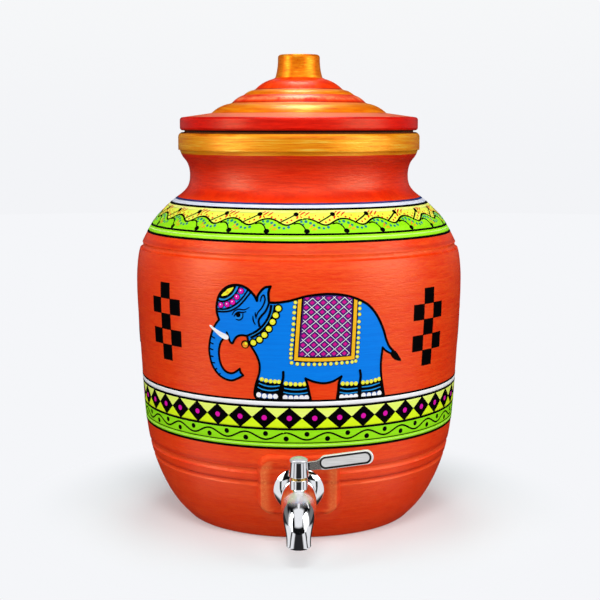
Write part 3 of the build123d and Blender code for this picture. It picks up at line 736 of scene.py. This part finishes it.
lozenge_count = 43
lozenge_reference = 125.5
half_lozenge = math.radians(360 / lozenge_count) * lozenge_reference / 2
lozenge_reach, lozenge_rise = half_lozenge * 1.01, 8.1
lozenges, lozenge_dots = (Brushwork(-3.1, 100.55, lozenge_reference) for _ in range(2))
for turn in range(lozenge_count):
    middle = turn * 2 * half_lozenge
    lozenges.fill([
        (middle - lozenge_reach, 0.0), (middle, -lozenge_rise), (middle + lozenge_reach, 0.0),
        (middle, lozenge_rise),
    ], 0.14)
    lozenge_dots.dot(middle, 0.0, 1.95, 0.2)
lozenges.finish("belly_lozenges", black)
magenta = enamel("magenta", (232, 16, 178), (214, 10, 160))
lozenge_dots.finish("belly_pinks", magenta)

wave_count = 26
wave_steps = 24
wave_swing = 2.55
wave_reference = 124.6
wave_length = math.radians(360 / wave_count) * wave_reference
wave, wave_dots = (Brushwork(-4.2, 86.9, wave_reference) for _ in range(2))
wave_line = [
    (step / wave_steps * wave_length, wave_swing * math.cos(math.tau * step / wave_steps))
    for step in range(wave_steps * wave_count)
]
wave.stroke(wave_line, 1.25, 0.16, closed=True)
for turn in range(wave_count):
    wave_dots.dot(turn * wave_length, -1.9, 1.9, 0.16)
    wave_dots.dot((turn + 0.5) * wave_length, 1.75, 1.85, 0.16)
wave.finish("belly_wave", black)
wave_dots.finish("belly_wave_dots", black)

# Stepped squares
# Three stacks of black squares in rows of one, two, one, two and one, corner to corner, as on woven
# borders. They are stencilled between the elephants.

cell = 11.7
column_step, cell_height = cell * 0.98, cell * 1.03
for number, (angle, middle) in enumerate(((-50.2, 164.8), (48.4, 161.4), (180.0, 163.0))):
    squares = Brushwork(angle, middle)
    for row, columns in enumerate(((0,), (-1, 1), (0,), (-1, 1), (0,))):
        for column in columns:
            left, low = (column - 0.5) * column_step, (1.5 - row) * cell
            right, high = left + cell, low + cell_height
            corners = [(left, low), (right, low), (right, high), (left, high), (left, low)]
            squares.fill(finely(corners, 2.45)[:-1], 0.14)
    squares.finish(f"stepped_squares_{number + 1}", black)

# Elephants
# Three caparisoned elephants walk round the belly, painted flat: blue bodies with black outlines, a
# bead cap, a garland, a saddle cloth with a lozenge lattice, bead anklets and white nails.

blue = enamel("elephant_blue", (0, 122, 232), (0, 132, 240))
sky_blue = enamel("sky_blue", (36, 150, 226), (20, 138, 214))
deep_blue = enamel("deep_blue", (6, 70, 148), (10, 92, 176))
bead_yellow = enamel("bead_yellow", (248, 244, 56), (238, 234, 40))
bead_pale = enamel("bead_pale", (254, 252, 150), (250, 248, 120))
marigold = enamel("marigold", (250, 192, 36), (244, 178, 24))
violet = enamel("violet", (58, 24, 96), (84, 30, 120))
cloth_pink = enamel("cloth_pink", (214, 18, 150), (196, 20, 132))

# The contours, in millimetres to the right of the jar's front and up from the ground they stand on.
# Their points, and most of those further down, were picked by eye on enlarged views of the
# photograph, and a separate script turned them into millimetres on this wall.
trunk_outside = flowing([
    (-41.2, 17.2), (-45.0, 15.0), (-51.0, 12.8), (-58.0, 14.4), (-63.1, 18.3), (-67.0, 24.6),
    (-68.6, 33.2), (-67.8, 40.4), (-65.4, 47.8), (-62.3, 53.6), (-59.3, 57.2),
], fineness=4)
crown = flowing([
    (-59.3, 57.2), (-60.7, 61.4), (-61.1, 66.0), (-60.6, 69.9), (-59.5, 73.8), (-57.3, 77.4),
    (-54.4, 80.2), (-50.7, 82.3), (-46.2, 83.1), (-41.3, 82.7), (-36.9, 80.8), (-33.8, 78.2),
    (-31.4, 75.5), (-29.8, 72.3),
], fineness=3)
ear_front = flowing([(-29.8, 72.3), (-29.3, 75.6), (-27.2, 79.0), (-24.2, 81.9), (-20.0, 82.8)])
ear_tip = flowing([(-20.0, 82.8), (-21.1, 80.2), (-21.5, 76.9), (-21.2, 73.1), (-21.0, 71.3)], fineness=3)
ear_back = flowing([
    (-21.0, 71.3), (-21.9, 68.6), (-23.8, 64.7), (-26.9, 61.2), (-28.7, 58.1), (-28.2, 54.2),
], fineness=4)
back_and_tail = flowing([
    (-21.0, 71.3), (-15.6, 71.3), (-9.1, 72.2), (-3.1, 73.6), (4.5, 75.8), (13.7, 77.1), (23.6, 77.4),
    (33.7, 76.1), (42.4, 73.2), (50.2, 69.0), (55.9, 63.3), (60.5, 56.2), (64.1, 48.6), (66.4, 42.1),
    (69.3, 36.7), (73.7, 32.3),
], fineness=4)
tail_inside = flowing([(72.4, 30.6), (66.8, 33.5), (63.6, 36.3)], fineness=4)
rump = flowing([
    (63.6, 36.3), (62.9, 29.8), (62.6, 23.0), (63.2, 16.0), (64.6, 8.3), (66.4, 0.6),
], fineness=4)
rear_front = flowing([(28.4, 0.4), (29.2, 6.9), (29.7, 12.6), (31.4, 17.0)], fineness=4)
belly_line = flowing([
    (31.4, 17.0), (24.5, 13.4), (17.6, 12.5), (10.8, 13.8), (4.9, 16.2),
], fineness=4)
front_back = flowing([(4.9, 16.2), (6.6, 10.4), (7.8, 4.7), (8.8, 0.4)], fineness=4)
chest = flowing([
    (-30.6, 0.4), (-32.4, 1.9), (-32.9, 4.3), (-32.4, 7.8), (-31.6, 11.4), (-30.2, 15.4),
    (-29.0, 19.3), (-28.5, 23.0), (-28.7, 26.8), (-30.0, 31.0), (-32.2, 35.4), (-34.9, 39.4),
    (-36.7, 42.8), (-37.4, 46.4),
], fineness=3)
jaw = flowing([
    (-35.0, 47.6), (-38.0, 46.7), (-41.8, 46.9), (-45.1, 45.8), (-47.4, 43.2), (-48.9, 40.5),
    (-50.5, 41.2), (-51.6, 43.4), (-52.3, 45.9), (-53.4, 48.2),
], fineness=3)
trunk_inside = flowing([
    (-55.6, 44.2), (-58.4, 40.6), (-59.8, 36.8), (-60.4, 31.8), (-59.3, 24.8), (-55.8, 19.6),
    (-50.8, 18.1), (-47.0, 19.6), (-43.8, 22.0),
], fineness=4)
trunk_tip = flowing([(-43.8, 22.0), (-43.3, 19.4), (-41.2, 17.2)], fineness=3)
elephant_outline = (
    trunk_outside[:-1] + crown[:-1] + ear_front[:-1] + ear_tip[:-1] + back_and_tail
    + tail_inside[:-1] + rump + rear_front[:-1] + belly_line[:-1] + front_back + chest[:-1]
    + jaw[3:-1] + trunk_inside[:-1] + trunk_tip[:-1]
)
cap_low = flowing([
    (-60.2, 63.2), (-55.0, 63.3), (-49.5, 64.4), (-43.7, 67.8), (-39.3, 72.2), (-36.5, 75.7),
    (-34.6, 78.0),
], fineness=4)
cap_cord = flowing([
    (-60.4, 65.0), (-55.4, 65.1), (-50.6, 66.3), (-45.5, 69.4), (-41.4, 73.1), (-38.5, 76.8),
    (-36.6, 79.8),
], fineness=4)
cap_middle = flowing([
    (-60.0, 71.3), (-55.7, 70.8), (-51.0, 72.4), (-46.9, 75.6), (-44.1, 79.5), (-43.0, 82.4),
], fineness=4)
cap_top = flowing([
    (-59.0, 74.0), (-55.6, 73.3), (-51.9, 74.6), (-48.5, 77.4), (-46.0, 82.2),
], fineness=4)
# Beads of the garland
garland = [
    (-14.4, 67.2), (-16.3, 62.2), (-18.6, 57.4), (-21.4, 52.3), (-24.6, 47.8), (-28.3, 44.2),
    (-32.9, 41.8),
]
# Each foot: the top of its black ground, two blue stripes, beads, nails, and its left and right side
feet = (
    (
        [(-30.2, 14.6), (-26.0, 13.2), (-21.7, 12.8), (-12.6, 12.6)],
        ([(-29.4, 12.1), (-26.1, 10.8), (-21.7, 10.0), (-17.3, 10.1), (-13.9, 10.7)],
         [(-30.3, 9.2), (-27.0, 7.7), (-22.6, 6.9), (-18.7, 7.0), (-14.8, 7.8)]),
        [(-27.1, 15.1), (-23.9, 14.3), (-20.6, 13.9), (-17.4, 13.7), (-14.4, 13.6)],
        [(-29.6, 3.4), (-25.4, 2.7), (-21.1, 2.5), (-17.1, 2.6)],
        (-32.2, -14.0),
    ),
    (
        [(-11.6, 11.8), (-3.0, 11.2), (6.0, 11.6)],
        ([(-10.7, 8.9), (-6.6, 8.2), (-2.0, 7.9), (2.4, 8.2), (5.8, 8.8)],
         [(-11.3, 6.0), (-7.0, 5.1), (-2.0, 4.8), (3.0, 5.1), (6.7, 5.8)]),
        [(-9.3, 12.4), (-5.9, 12.1), (-2.4, 11.9), (1.0, 11.9), (4.1, 12.1)],
        [(-9.9, 2.0), (-5.8, 1.7), (-1.8, 1.7), (2.1, 1.9), (5.7, 2.0)],
        (-13.0, 8.0),
    ),
    (
        [(30.4, 11.2), (38.0, 10.6), (45.6, 11.0)],
        ([(30.6, 8.3), (36.3, 7.2), (44.1, 7.6)], [(30.2, 5.3), (36.4, 4.1), (44.2, 4.6)]),
        [(32.5, 11.6), (35.8, 11.4), (39.2, 11.2), (42.6, 11.1)],
        [(31.9, 1.7), (35.5, 1.5), (39.1, 1.5), (42.7, 1.6)],
        (29.0, 45.0),
    ),
    (
        [(46.4, 11.0), (54.6, 11.2), (63.2, 12.8)],
        ([(47.4, 8.1), (54.5, 8.4), (62.3, 10.0)], [(47.3, 5.2), (55.3, 5.4), (63.1, 7.0)]),
        [(48.3, 11.5), (51.7, 11.5), (55.0, 11.8), (58.4, 12.4), (61.5, 13.0)],
        [(49.0, 1.8), (53.4, 1.7), (57.8, 1.8), (62.2, 2.3)],
        (46.6, 65.4),
    ),
)
# The saddle cloth leans a little to its left foot
cloth_left = [(0.9, 75.0), (-0.2, 58.4), (-1.1, 45.0), (-2.1, 29.4)]
cloth_hem = flowing([(-3.2, 30.6), (7.3, 30.0), (18.0, 29.8), (28.8, 30.0), (40.7, 30.5)])
cloth_right = [(39.7, 29.4), (40.1, 43.9), (40.6, 57.4), (41.2, 74.0)]
panel_top = flowing([(3.4, 74.9), (13.7, 76.2), (23.6, 76.4), (33.2, 75.4), (38.9, 73.9)])
panel = panel_top + [(38.2, 44.0), (37.7, 32.1)] + flowing([(37.7, 32.1), (17.4, 31.9), (-0.3, 32.4)])[1:]
cloth_top, cloth_lean = 75.0, 0.088
cell_wide, cell_high = 7.7, 6.8
# The height that the elephants' feet stand at
elephant_ground = 114.1


def on_cloth(u, v):
    """A place on the cloth, which leans: u is taken along its top edge."""
    return u - (cloth_top - v) * cloth_lean, v


def cloth_end(v):
    """How far the panel reaches to the right at a height, as u is taken on the cloth."""
    return 38.7 + (cloth_top - v) * (cloth_lean - 0.030)


(
    skin, sky, deep, lines, yellows, whites, violets, lattice, golds, pinks, tassels, pales,
    cloth_pinks, amber_drop,
) = (Brushwork(0.0, elephant_ground) for _ in range(14))
skin.fill(elephant_outline, 0.10)
# Legs: black grounds with blue stripes, beads and nails
for ground_top, stripes, anklet, nails, (left, right) in feet:
    lines.fill([(left, 0.3), (left, 5.0)] + ground_top + [(right, 5.0), (right, 0.3)], 0.16)
    for line in stripes:
        sky.stroke(flowing(line), 0.95, 0.22, taper=0.35)
    first_nail, last_nail = nails[0], nails[-1]
    nail_bed = [(first_nail[0] - 1.2, first_nail[1])] + nails + [(last_nail[0] + 1.2, last_nail[1])]
    deep.stroke(flowing(nail_bed), 3.6, 0.20)
    for u, v in anklet:
        yellows.dot(u, v, 1.52, 0.28)
        pales.dot(u - 0.2, v + 0.3, 0.5, 0.32, sides=8)
    for u, v in nails:
        whites.dot(u, v, 1.9, 0.28)
for divider in (
    [(-13.9, 0.4), (-13.4, 7.0), (-12.3, 12.5), (-11.3, 16.6), (-11.2, 20.8)],
    [(45.7, 0.4), (45.7, 6.0), (45.8, 11.7), (46.3, 16.2), (45.6, 20.6)],
):
    lines.stroke(flowing(divider), 1.9, 0.34)
    lines.dot(*divider[-1], 0.95, 0.34, sides=12)
# Outlines
for run, width in (
    (trunk_outside, 1.5), (crown, 1.75), (ear_front, 1.7), (ear_tip, 1.8), (ear_back, 1.5),
    (back_and_tail, 1.75), (tail_inside, 1.4), (rump, 1.7), (rear_front, 1.8), (belly_line, 1.6),
    (front_back, 1.8), (chest, 1.55), (jaw, 1.5), (trunk_inside, 1.5), (trunk_tip, 1.5),
    ([(-31.0, 0.35), (8.8, 0.35)], 1.2), ([(28.4, 0.35), (66.4, 0.35)], 1.2),
):
    lines.stroke(run, width, 0.34)
    for end in (run[0], run[-1]):
        lines.dot(*end, width / 2, 0.34, sides=12)
lines.fill(flowing([
    (72.0, 33.2), (75.4, 32.4), (78.2, 29.0), (80.9, 24.9), (75.5, 26.0), (71.8, 29.0), (70.9, 31.4),
], closed=True, fineness=4), 0.34)
# Rings across the trunk
for root, end in (
    ((-65.9, 44.4), (-63.2, 43.2)), ((-67.3, 39.8), (-64.7, 38.8)), ((-67.9, 35.2), (-65.1, 34.5)),
    ((-68.0, 29.9), (-65.1, 29.5)), ((-67.0, 24.9), (-64.0, 24.9)), ((-64.8, 19.9), (-62.3, 20.8)),
    ((-61.6, 16.2), (-59.6, 17.4)),
):
    flick(lines, 0.0, root, end, -0.15, 0.95, 0.3)
# Ear folds, cheek, brow, eye and collar: brush, width, lift, taper and line
for brush, width, lift, taper, line in (
    (lines, 1.15, 0.3, 0.3, [
        (-27.4, 71.8), (-26.4, 75.3), (-24.9, 76.6), (-24.0, 74.2), (-24.3, 71.6), (-26.1, 67.7),
        (-29.2, 63.8), (-30.4, 60.7)]),
    (sky, 0.5, 0.2, 0.0, [(-22.9, 78.0), (-22.8, 72.6), (-23.6, 68.2), (-26.2, 64.4), (-28.9, 61.0)]),
    (sky, 0.45, 0.2, 0.0, [(-28.4, 73.4), (-27.2, 77.0), (-24.6, 79.4), (-22.9, 79.6)]),
    (lines, 1.0, 0.3, 0.5, [(-31.1, 64.1), (-31.0, 61.8), (-30.4, 59.4)]),
    (lines, 1.0, 0.3, 0.4, [(-32.9, 61.3), (-32.6, 57.9), (-31.1, 54.9)]),
    (lines, 0.85, 0.3, 0.4, [
        (-48.8, 61.2), (-46.9, 64.0), (-43.8, 65.7), (-39.8, 65.5), (-37.4, 66.3), (-35.4, 67.6)]),
    (lines, 1.1, 0.3, 0.4, [(-47.2, 60.3), (-45.9, 62.3), (-43.8, 63.6), (-40.6, 63.5), (-37.8, 64.2)]),
    (lines, 0.9, 0.3, 0.4, [(-45.8, 58.3), (-43.1, 57.9), (-40.7, 59.7), (-40.3, 62.8)]),
    (sky, 0.6, 0.2, 0.0, [(-46.2, 60.6), (-45.2, 59.5), (-43.2, 59.1), (-41.7, 60.5), (-41.5, 62.4)]),
    (lines, 1.85, 0.3, 0.0, [
        (-19.4, 69.6), (-20.4, 64.0), (-23.1, 57.8), (-27.4, 52.7), (-31.8, 49.3), (-36.0, 47.2)]),
    (lines, 1.7, 0.3, 0.0, [
        (-16.9, 69.6), (-17.9, 64.1), (-20.9, 57.7), (-25.2, 51.8), (-29.6, 48.2), (-34.8, 45.2)]),
    (sky, 0.45, 0.36, 0.0, [
        (-18.0, 69.4), (-19.0, 64.1), (-21.9, 57.8), (-26.2, 52.3), (-30.6, 48.9), (-35.6, 46.3)]),
):
    brush.stroke(flowing(line), width, lift, taper=taper)
lines.dot(-44.0, 61.7, 1.75, 0.3)
# Cap: cords, a row of pink beads, and a yellow crest on black
for cord, width in ((cap_low, 1.25), (cap_cord, 1.2), (cap_middle, 1.3), (cap_top, 1.2)):
    lines.stroke(cord, width, 0.3)
sky.stroke([
    ((low[0] + high[0]) / 2, (low[1] + high[1]) / 2) for low, high in zip(cap_low, cap_cord)
][1:-1], 0.5, 0.2)
sky.stroke([(u - 0.3, v + 1.35) for u, v in cap_middle[1:-3]], 1.5, 0.2)
sky.stroke([(u + 1.0, v - 2.0) for u, v in cap_middle[2:-3]], 1.3, 0.18)
sky.stroke([(u - 1.6, v + 1.3) for u, v in cap_cord[2:-4]], 1.2, 0.18)
for u, v in ((-57.5, 68.0), (-52.5, 68.8), (-48.2, 70.7), (-44.8, 74.6), (-41.7, 79.0)):
    lines.dot(u, v, 2.5, 0.24)
    pinks.dot(u, v, 2.0, 0.30)
    whites.dot(u - 0.3, v + 0.4, 0.5, 0.34, sides=8)
lines.fill(cap_top + [
    (-46.2, 83.1), (-50.7, 82.3), (-54.4, 80.2), (-57.3, 77.4), (-59.3, 74.4)], 0.28)
yellows.fill(flowing([
    (-57.0, 74.9), (-55.2, 77.2), (-53.4, 78.4), (-52.2, 79.9), (-50.2, 80.6), (-47.4, 81.4),
    (-48.6, 79.2), (-50.2, 77.4), (-51.9, 75.9), (-54.6, 74.9),
], closed=True, fineness=3), 0.34)
golds.dot(-52.0, 77.6, 0.9, 0.38, sides=10)
# Garland and its drop
for u, v in garland:
    lines.dot(u, v, 3.1, 0.26)
    yellows.dot(u, v, 2.05, 0.32)
    pales.dot(u - 0.3, v + 0.4, 0.5, 0.36, sides=10)
lines.dot(-39.1, 40.3, 3.05, 0.26)
amber_drop.dot(-39.1, 40.0, 2.1, 0.32)
yellows.dot(-38.5, 41.0, 1.1, 0.36, sides=12)
# Tusk
whites.fill(flowing([
    (-67.4, 52.0), (-64.2, 49.1), (-59.9, 45.6), (-56.1, 43.4), (-53.4, 42.9), (-51.9, 44.0),
    (-52.2, 45.8), (-54.0, 46.9), (-57.7, 48.1), (-62.0, 50.2), (-66.2, 52.6),
], closed=True, fineness=4), 0.40, grain=2.5)
# Saddle cloth: gold hem on black, pink lozenges and a white lattice on violet
for run in (cloth_left, cloth_hem, cloth_right):
    lines.stroke(run, 4.5, 0.20)
    golds.stroke(run, 2.5, 0.30)
lines.fill([(u - 0.6, v) for u, v in panel], 0.18)
violets.fill(panel, 0.26)
panel_left, panel_middle, panel_foot, panel_head = 3.9, 13.7, 32.4, 75.6
for row in range(-1, 14):
    v = 74.8 - row * cell_high / 2
    for column in range(-1, 7):
        u = panel_middle + (column - 1) * cell_wide + (cell_wide / 2 if row % 2 else 0.0)
        if 4.6 < u < cloth_end(v) - 0.5 and 33.0 < v < 75.4:
            left, right = max(u - 1.8, panel_left), min(u + 1.8, cloth_end(v))
            low, high = max(v - 1.6, panel_foot + 0.2), min(v + 1.6, panel_head)
            corners = ((left, v), (u, low), (right, v), (u, high))
            cloth_pinks.fill([on_cloth(*corner) for corner in corners], 0.30)
for slope in (1, -1):
    for step in range(-7, 13):
        line = []
        for part in range(61):
            v = panel_foot + (panel_head - panel_foot) * part / 60
            u = panel_middle + step * cell_wide + slope * (v - 71.4) * cell_wide / cell_high
            head = 74.7 + 1.2 * math.sin(math.pi * (u - 2) / 38)
            if panel_left < u < cloth_end(v) and v < head:
                line.append(on_cloth(u, v))
        if len(line) > 2:
            lattice.stroke(line, 0.38, 0.34)
# Tassels along the hem, each with a yellow bead
fringe = [
    (-2.3, 71.7), (-2.9, 68.4), (-3.2, 64.3), (-3.4, 60.2), (-3.7, 56.1), (-4.1, 51.9), (-4.4, 48.1),
    (-4.7, 44.4), (-5.1, 40.9), (-5.4, 37.6), (-5.6, 34.5), (-5.7, 31.4), (-5.2, 27.7), (-1.0, 26.9),
    (3.0, 26.7), (7.1, 26.6), (11.3, 26.5), (15.2, 26.5), (19.1, 26.6), (23.3, 26.6), (27.5, 26.8),
    (31.5, 27.0), (35.5, 27.1), (39.2, 27.3), (42.0, 27.8), (43.1, 31.0), (43.3, 34.5), (43.5, 37.8),
    (43.5, 41.2), (43.6, 44.8), (43.7, 48.6), (43.8, 52.6), (43.8, 56.7), (44.1, 62.0), (44.2, 66.2),
    (44.3, 70.1),
]
for u, v in fringe:
    tassels.dot(u, v, 1.7, 0.24, sides=12)
    yellows.dot(u, v, 1.28, 0.30, sides=12)
    pales.dot(u - 0.15, v + 0.2, 0.5, 0.34, sides=8)

drawn = (
    ("elephant_skin", skin, blue), ("elephant_sky", sky, sky_blue), ("elephant_nail_beds", deep, deep_blue),
    ("elephant_lines", lines, black), ("elephant_beads", yellows, bead_yellow),
    ("elephant_whites", whites, white), ("elephant_drop", amber_drop, amber),
    ("saddle_ground", violets, violet), ("saddle_lattice", lattice, white),
    ("saddle_gold", golds, marigold), ("elephant_pinks", pinks, magenta),
    ("saddle_tassels", tassels, deep_blue), ("elephant_bead_glints", pales, bead_pale),
    ("saddle_pinks", cloth_pinks, cloth_pink),
)
for name, brushwork, material in drawn:
    first = brushwork.finish(f"{name}_1", material)
    # The same stencil twice more, a third of the way round each side
    for number, angle in ((2, 116.0), (3, -116.0)):
        again = first.data.copy()
        again.materials.clear()
        again.transform(Matrix.Rotation(math.radians(angle), 4, "Z"))
        into_scene(f"{name}_{number}", again, material, "jar")

# Lid
# Thrown terracotta too, red with three gold coats: on the knob and on two of its turned rings. It lies
# loose in the mouth by its spigot, which is bare clay like the hollow under it.

# Metres from the axis and the foot: corners under the steps, rings, and the limits of the paint
step_corners = (0.0350, 0.0532, 0.0700)
outer_ring, upper_ring, knob_foot = (0.0534, 0.0696), (0.0355, 0.0441), 0.3468
brim_foot, seat_top, spigot_top = 0.3165, 0.3066, 0.3052

lid_clay, red_clay, lid_spot, lid_place, lid_strokes, lid_hairs = thrown_paint(
    "painted_lid", 520.0, 1200.0)
lid_z, lid_r = lid_place[2:]
lid_up = red_clay.facing()[2]
lid_grain = lid_strokes * 0.55 + lid_hairs * 0.45
red = lid_grain.between(0.36, 0.64).tint(srgb(228, 30, 0), srgb(255, 74, 6))
edge_red = lid_grain.between(0.34, 0.66).tint(srgb(196, 2, 0), srgb(230, 16, 0))
red = lid_z.between(0.3178, 0.3162).tint(red, edge_red)
# The tops of the brim and of a step are painted lighter, a painted highlight, and the corners under the
# steps darker, a painted shade
brim_highlight = lid_up.between(0.80, 0.95).both(lid_r.band(0.0690, 0.0700, 0.0905, 0.0925))
red = (brim_highlight * (0.35 + lid_grain.between(0.40, 0.60) * 0.35)).tint(red, srgb(255, 138, 84))
step_highlight = lid_r.band(0.0455, 0.0485, 0.0500, 0.0520).both(lid_up.between(0.60, 0.75))
red = (step_highlight * lid_grain.between(0.35, 0.60) * 0.70).tint(red, srgb(255, 150, 96))
for corner in step_corners:
    painted_crease_shade = lid_r.band(corner - 0.0014, corner - 0.0004, corner + 0.0003, corner + 0.0012)
    red = (painted_crease_shade.both(lid_up.between(0.2, 0.4)) * 0.6).tint(red, srgb(140, 4, 0))
# Gold on two rings and the knob, with its brushed edges
wavering_r = lid_r + (lid_strokes - 0.5) * 0.0010
ring_golds = [
    wavering_r.band(inner, inner + edge, outer - edge, outer)
    for (inner, outer), edge in ((outer_ring, 0.0006), (upper_ring, 0.0005))
]
knob_gold = (lid_z + (lid_strokes - 0.5) * 0.001).between(knob_foot, knob_foot + 0.0008)
on_gold = ring_golds[0].either(ring_golds[1]).both(lid_z.between(brim_foot, brim_foot + 0.0005)).either(
    knob_gold)
lid_gold = gilding(
    red_clay, lid_place, lid_strokes, (230, 94, 2), (248, 124, 4), (255, 142, 8), (255, 182, 50))
lid_coat = on_gold.tint(red, lid_gold)
# The edge of the seat is painted dark, a painted shade for the gap under the brim, and the spigot and the
# hollow are bare clay
seat_shade = lid_z.between(seat_top, seat_top - 0.0004)
lid_coat = seat_shade.tint(lid_coat, srgb(34, 8, 4))
lid_bare = lid_up.between(-0.2, -0.4).both(lid_z.between(0.345, 0.344)).both(
    lid_r.between(0.0925, 0.0920)).either(lid_z.between(spigot_top, spigot_top - 0.0006))
lid_coat = lid_bare.tint(lid_coat, raw_clay(lid_spot.noise(20.0, 2.0, 0.5)))
lid_dull = lid_bare.either(seat_shade)
surface(red_clay, {
    "Base Color": lid_coat, "Roughness": 0.31 + (lid_strokes - 0.5) * 0.16 + lid_dull * 0.50,
    "Metallic": on_gold.both(1 - lid_bare) * (0.18 + knob_gold * 0.32),
    "Specular IOR Level": 0.42, "Specular Tint": (1.0, 0.72, 0.38, 1.0),
    "Normal": lid_grain.bump(0.30, 0.0006),
})
dress(lid_clay, "lid")

# Tap
# Cast and polished brass, chromed: body with shank, dished flange, lever and its cap. Faint waves are
# left by the polishing wheel, and water has dulled it a little in places.


def plated(name, colour, shine, wave, metal=1.0):
    """Polished plate with faint waves in it and a little haze, satin where water wets the tap."""
    material, wire = new_material(name)
    spot = wire.spot()
    haze = spot.noise(420.0, 3.0, 0.6)
    dulled = tuple(0.95 * part for part in srgb(*colour)[:3]) + (1.0,)
    _, along, up = spot.parts()
    wetted = up.band(0.0440, 0.0490, 0.0515, 0.0545).both(
        along.band(-0.1640, -0.1545, -0.1485, -0.1450))
    surface(wire, {
        "Base Color": haze.between(0.45, 0.75).tint(srgb(*colour), dulled),
        "Metallic": metal - wetted * 0.40,
        "Roughness": shine + haze.between(0.55, 0.8) * 0.04 + wetted * 0.22,
        "Normal": spot.noise(130.0, 1.0, 0.4).bump(wave, 0.001),
    })
    return material


chrome = plated("polished_chrome", (246, 247, 249), 0.04, 0.10)
dress(chrome, "tap_body", "tap_flange")


def turned(name, outline, along, material, body):
    """A turned piece: radii and heights in metres, swept round an upright axis in the middle plane."""
    shape = bmesh.new()
    turns = 72
    rows = []
    for radius, height in outline:
        if radius == 0:
            rows.append([shape.verts.new((0.0, along, height))] * turns)
            continue
        angles = [math.tau * turn / turns for turn in range(turns)]
        rows.append([
            shape.verts.new((radius * math.cos(angle), along + radius * math.sin(angle), height))
            for angle in angles
        ])
    for lower, upper in zip(rows, rows[1:]):
        for turn in range(turns):
            after = (turn + 1) % turns
            corners = dict.fromkeys((lower[turn], lower[after], upper[after], upper[turn]))
            shape.faces.new(tuple(corners))
    return piece(name, shape, material, body)


# The cap is domed and closes the top of the lever's hub; fingers have worn it satin
worn_chrome = plated("worn_chrome", (222, 223, 226), 0.16, 0.10, 0.45)
button_low, button_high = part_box("lever_cap")
button_radius, button_rise, button_edge = (button_high[0] - button_low[0]) / 2, 0.0037, 0.0009
button_seat = button_high[2] - button_rise
button_outline = [
    (0, button_seat), (button_radius * 0.96, button_seat), (button_radius, button_seat + 0.0003),
]
dome_steps = 14
for step in range(dome_steps + 1):
    lean_in = math.radians(90 * step / dome_steps)
    button_outline.append((
        button_radius * math.cos(lean_in) if step < dome_steps else 0,
        button_seat + button_edge + (button_rise - button_edge) * math.sin(lean_in)))
hub_axis = (button_low[1] + button_high[1]) / 2
cap_dome = turned("lever_cap_dome", button_outline, hub_axis, worn_chrome, "lever")
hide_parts("lever_cap")

# The lever's paddle rises a little. Its plate lies in a recess with round ends.
paddle_rise, paddle_level = math.radians(7.8), 0.0687
plate_middle, plate_half_length, plate_half_height = 0.0336, 0.0178, 0.0036


def on_paddle(wire):
    """How far a place on the lever is outside the name plate's edge, and how far along the lever."""
    out, _, height = wire.spot().parts()
    up = height - paddle_level
    along = out * math.cos(paddle_rise) + up * math.sin(paddle_rise)
    above = up * math.cos(paddle_rise) - out * math.sin(paddle_rise)
    off_plate = past_edge(
        along - plate_middle, above, plate_half_length, plate_half_height, plate_half_height)
    return off_plate, along


# The lever's hub is polished as the body is; its arm is duller, its rim has a painted highlight, and its
# recess a painted shade
lever_metal, lever = new_material("lever_chrome")
off_plate, along_lever = on_paddle(lever)
lever_x, lever_y, _ = lever.spot().parts()
on_hub = lever_x.reach(lever_y - hub_axis).between(0.0082, 0.0076)
recess = off_plate.between(0.0009, 0.0005)
rim_highlight = off_plate.band(0.0009, 0.0012, 0.0022, 0.0030).both(along_lever.between(0.0150, 0.0175))
lever_tone = rim_highlight.tint(srgb(208, 202, 195), srgb(252, 252, 252))
lever_tone = recess.tint(lever_tone, srgb(52, 52, 55))
lever_tone = on_hub.tint(lever_tone, srgb(238, 239, 241))
surface(lever, {
    "Base Color": lever_tone, "Metallic": 0.80 + on_hub * 0.20 - rim_highlight * 0.50,
    "Roughness": 0.18 - on_hub * 0.14 + rim_highlight * 0.10,
})
dress(lever_metal, "lever_handle")

# Name plate: a slip of satin steel let into the paddle, with nothing on it
satin, slip = new_material("satin_slip")
brushed_along = {"Vector": slip.spot(), "Scale": (60.0, 900.0, 2600.0)}
slip_grain = slip.node("ShaderNodeMapping", inputs=brushed_along).noise(1.0, 3.0, 0.6)
slip_tone = slip_grain.between(0.3, 0.7).tint(srgb(222, 222, 221), srgb(246, 246, 246))
# Its edge is painted dark, a painted shade where it meets the recess
slip_tone = on_paddle(slip)[0].between(-0.0007, -0.0003).tint(slip_tone, srgb(44, 44, 47))
surface(slip, {
    "Base Color": slip_tone, "Metallic": 0.25, "Roughness": 0.34 + (slip_grain - 0.5) * 0.1,
    "Normal": slip_grain.bump(0.15, 0.0003),
})
dress(satin, "name_plate")

# Fixings of the tap
# Steel washer and screw, turned brass nut, plug and gland, black rubber rings and a nylon washer. They
# lie inside the jar, the tower or the hub, and only the gland's edge shows, under the hub.

dress(plated("turned_brass", (222, 184, 104), 0.26, 0.05), "back_nut", "plug_spindle", "gland_bush")
dress(plated("turned_steel", (178, 178, 182), 0.30, 0.05), "back_washer", "handle_screw")


def moulded(name, dark, light, shine):
    """Moulded rubber or nylon with a fine matt grain."""
    material, wire = new_material(name)
    grain = wire.spot().noise(1500.0, 2.0, 0.6)
    surface(wire, {
        "Base Color": grain.between(0.35, 0.65).tint(srgb(*dark), srgb(*light)),
        "Roughness": shine + (grain - 0.5) * 0.15, "Normal": grain.bump(0.2, 0.0002),
    })
    return material


rubber = moulded("black_rubber", (22, 22, 23), (38, 38, 40), 0.62)
dress(rubber, "outer_seal", "inner_seal", "plug_o_rings")
dress(moulded("nylon", (222, 218, 204), (234, 231, 220), 0.5), "friction_washer")
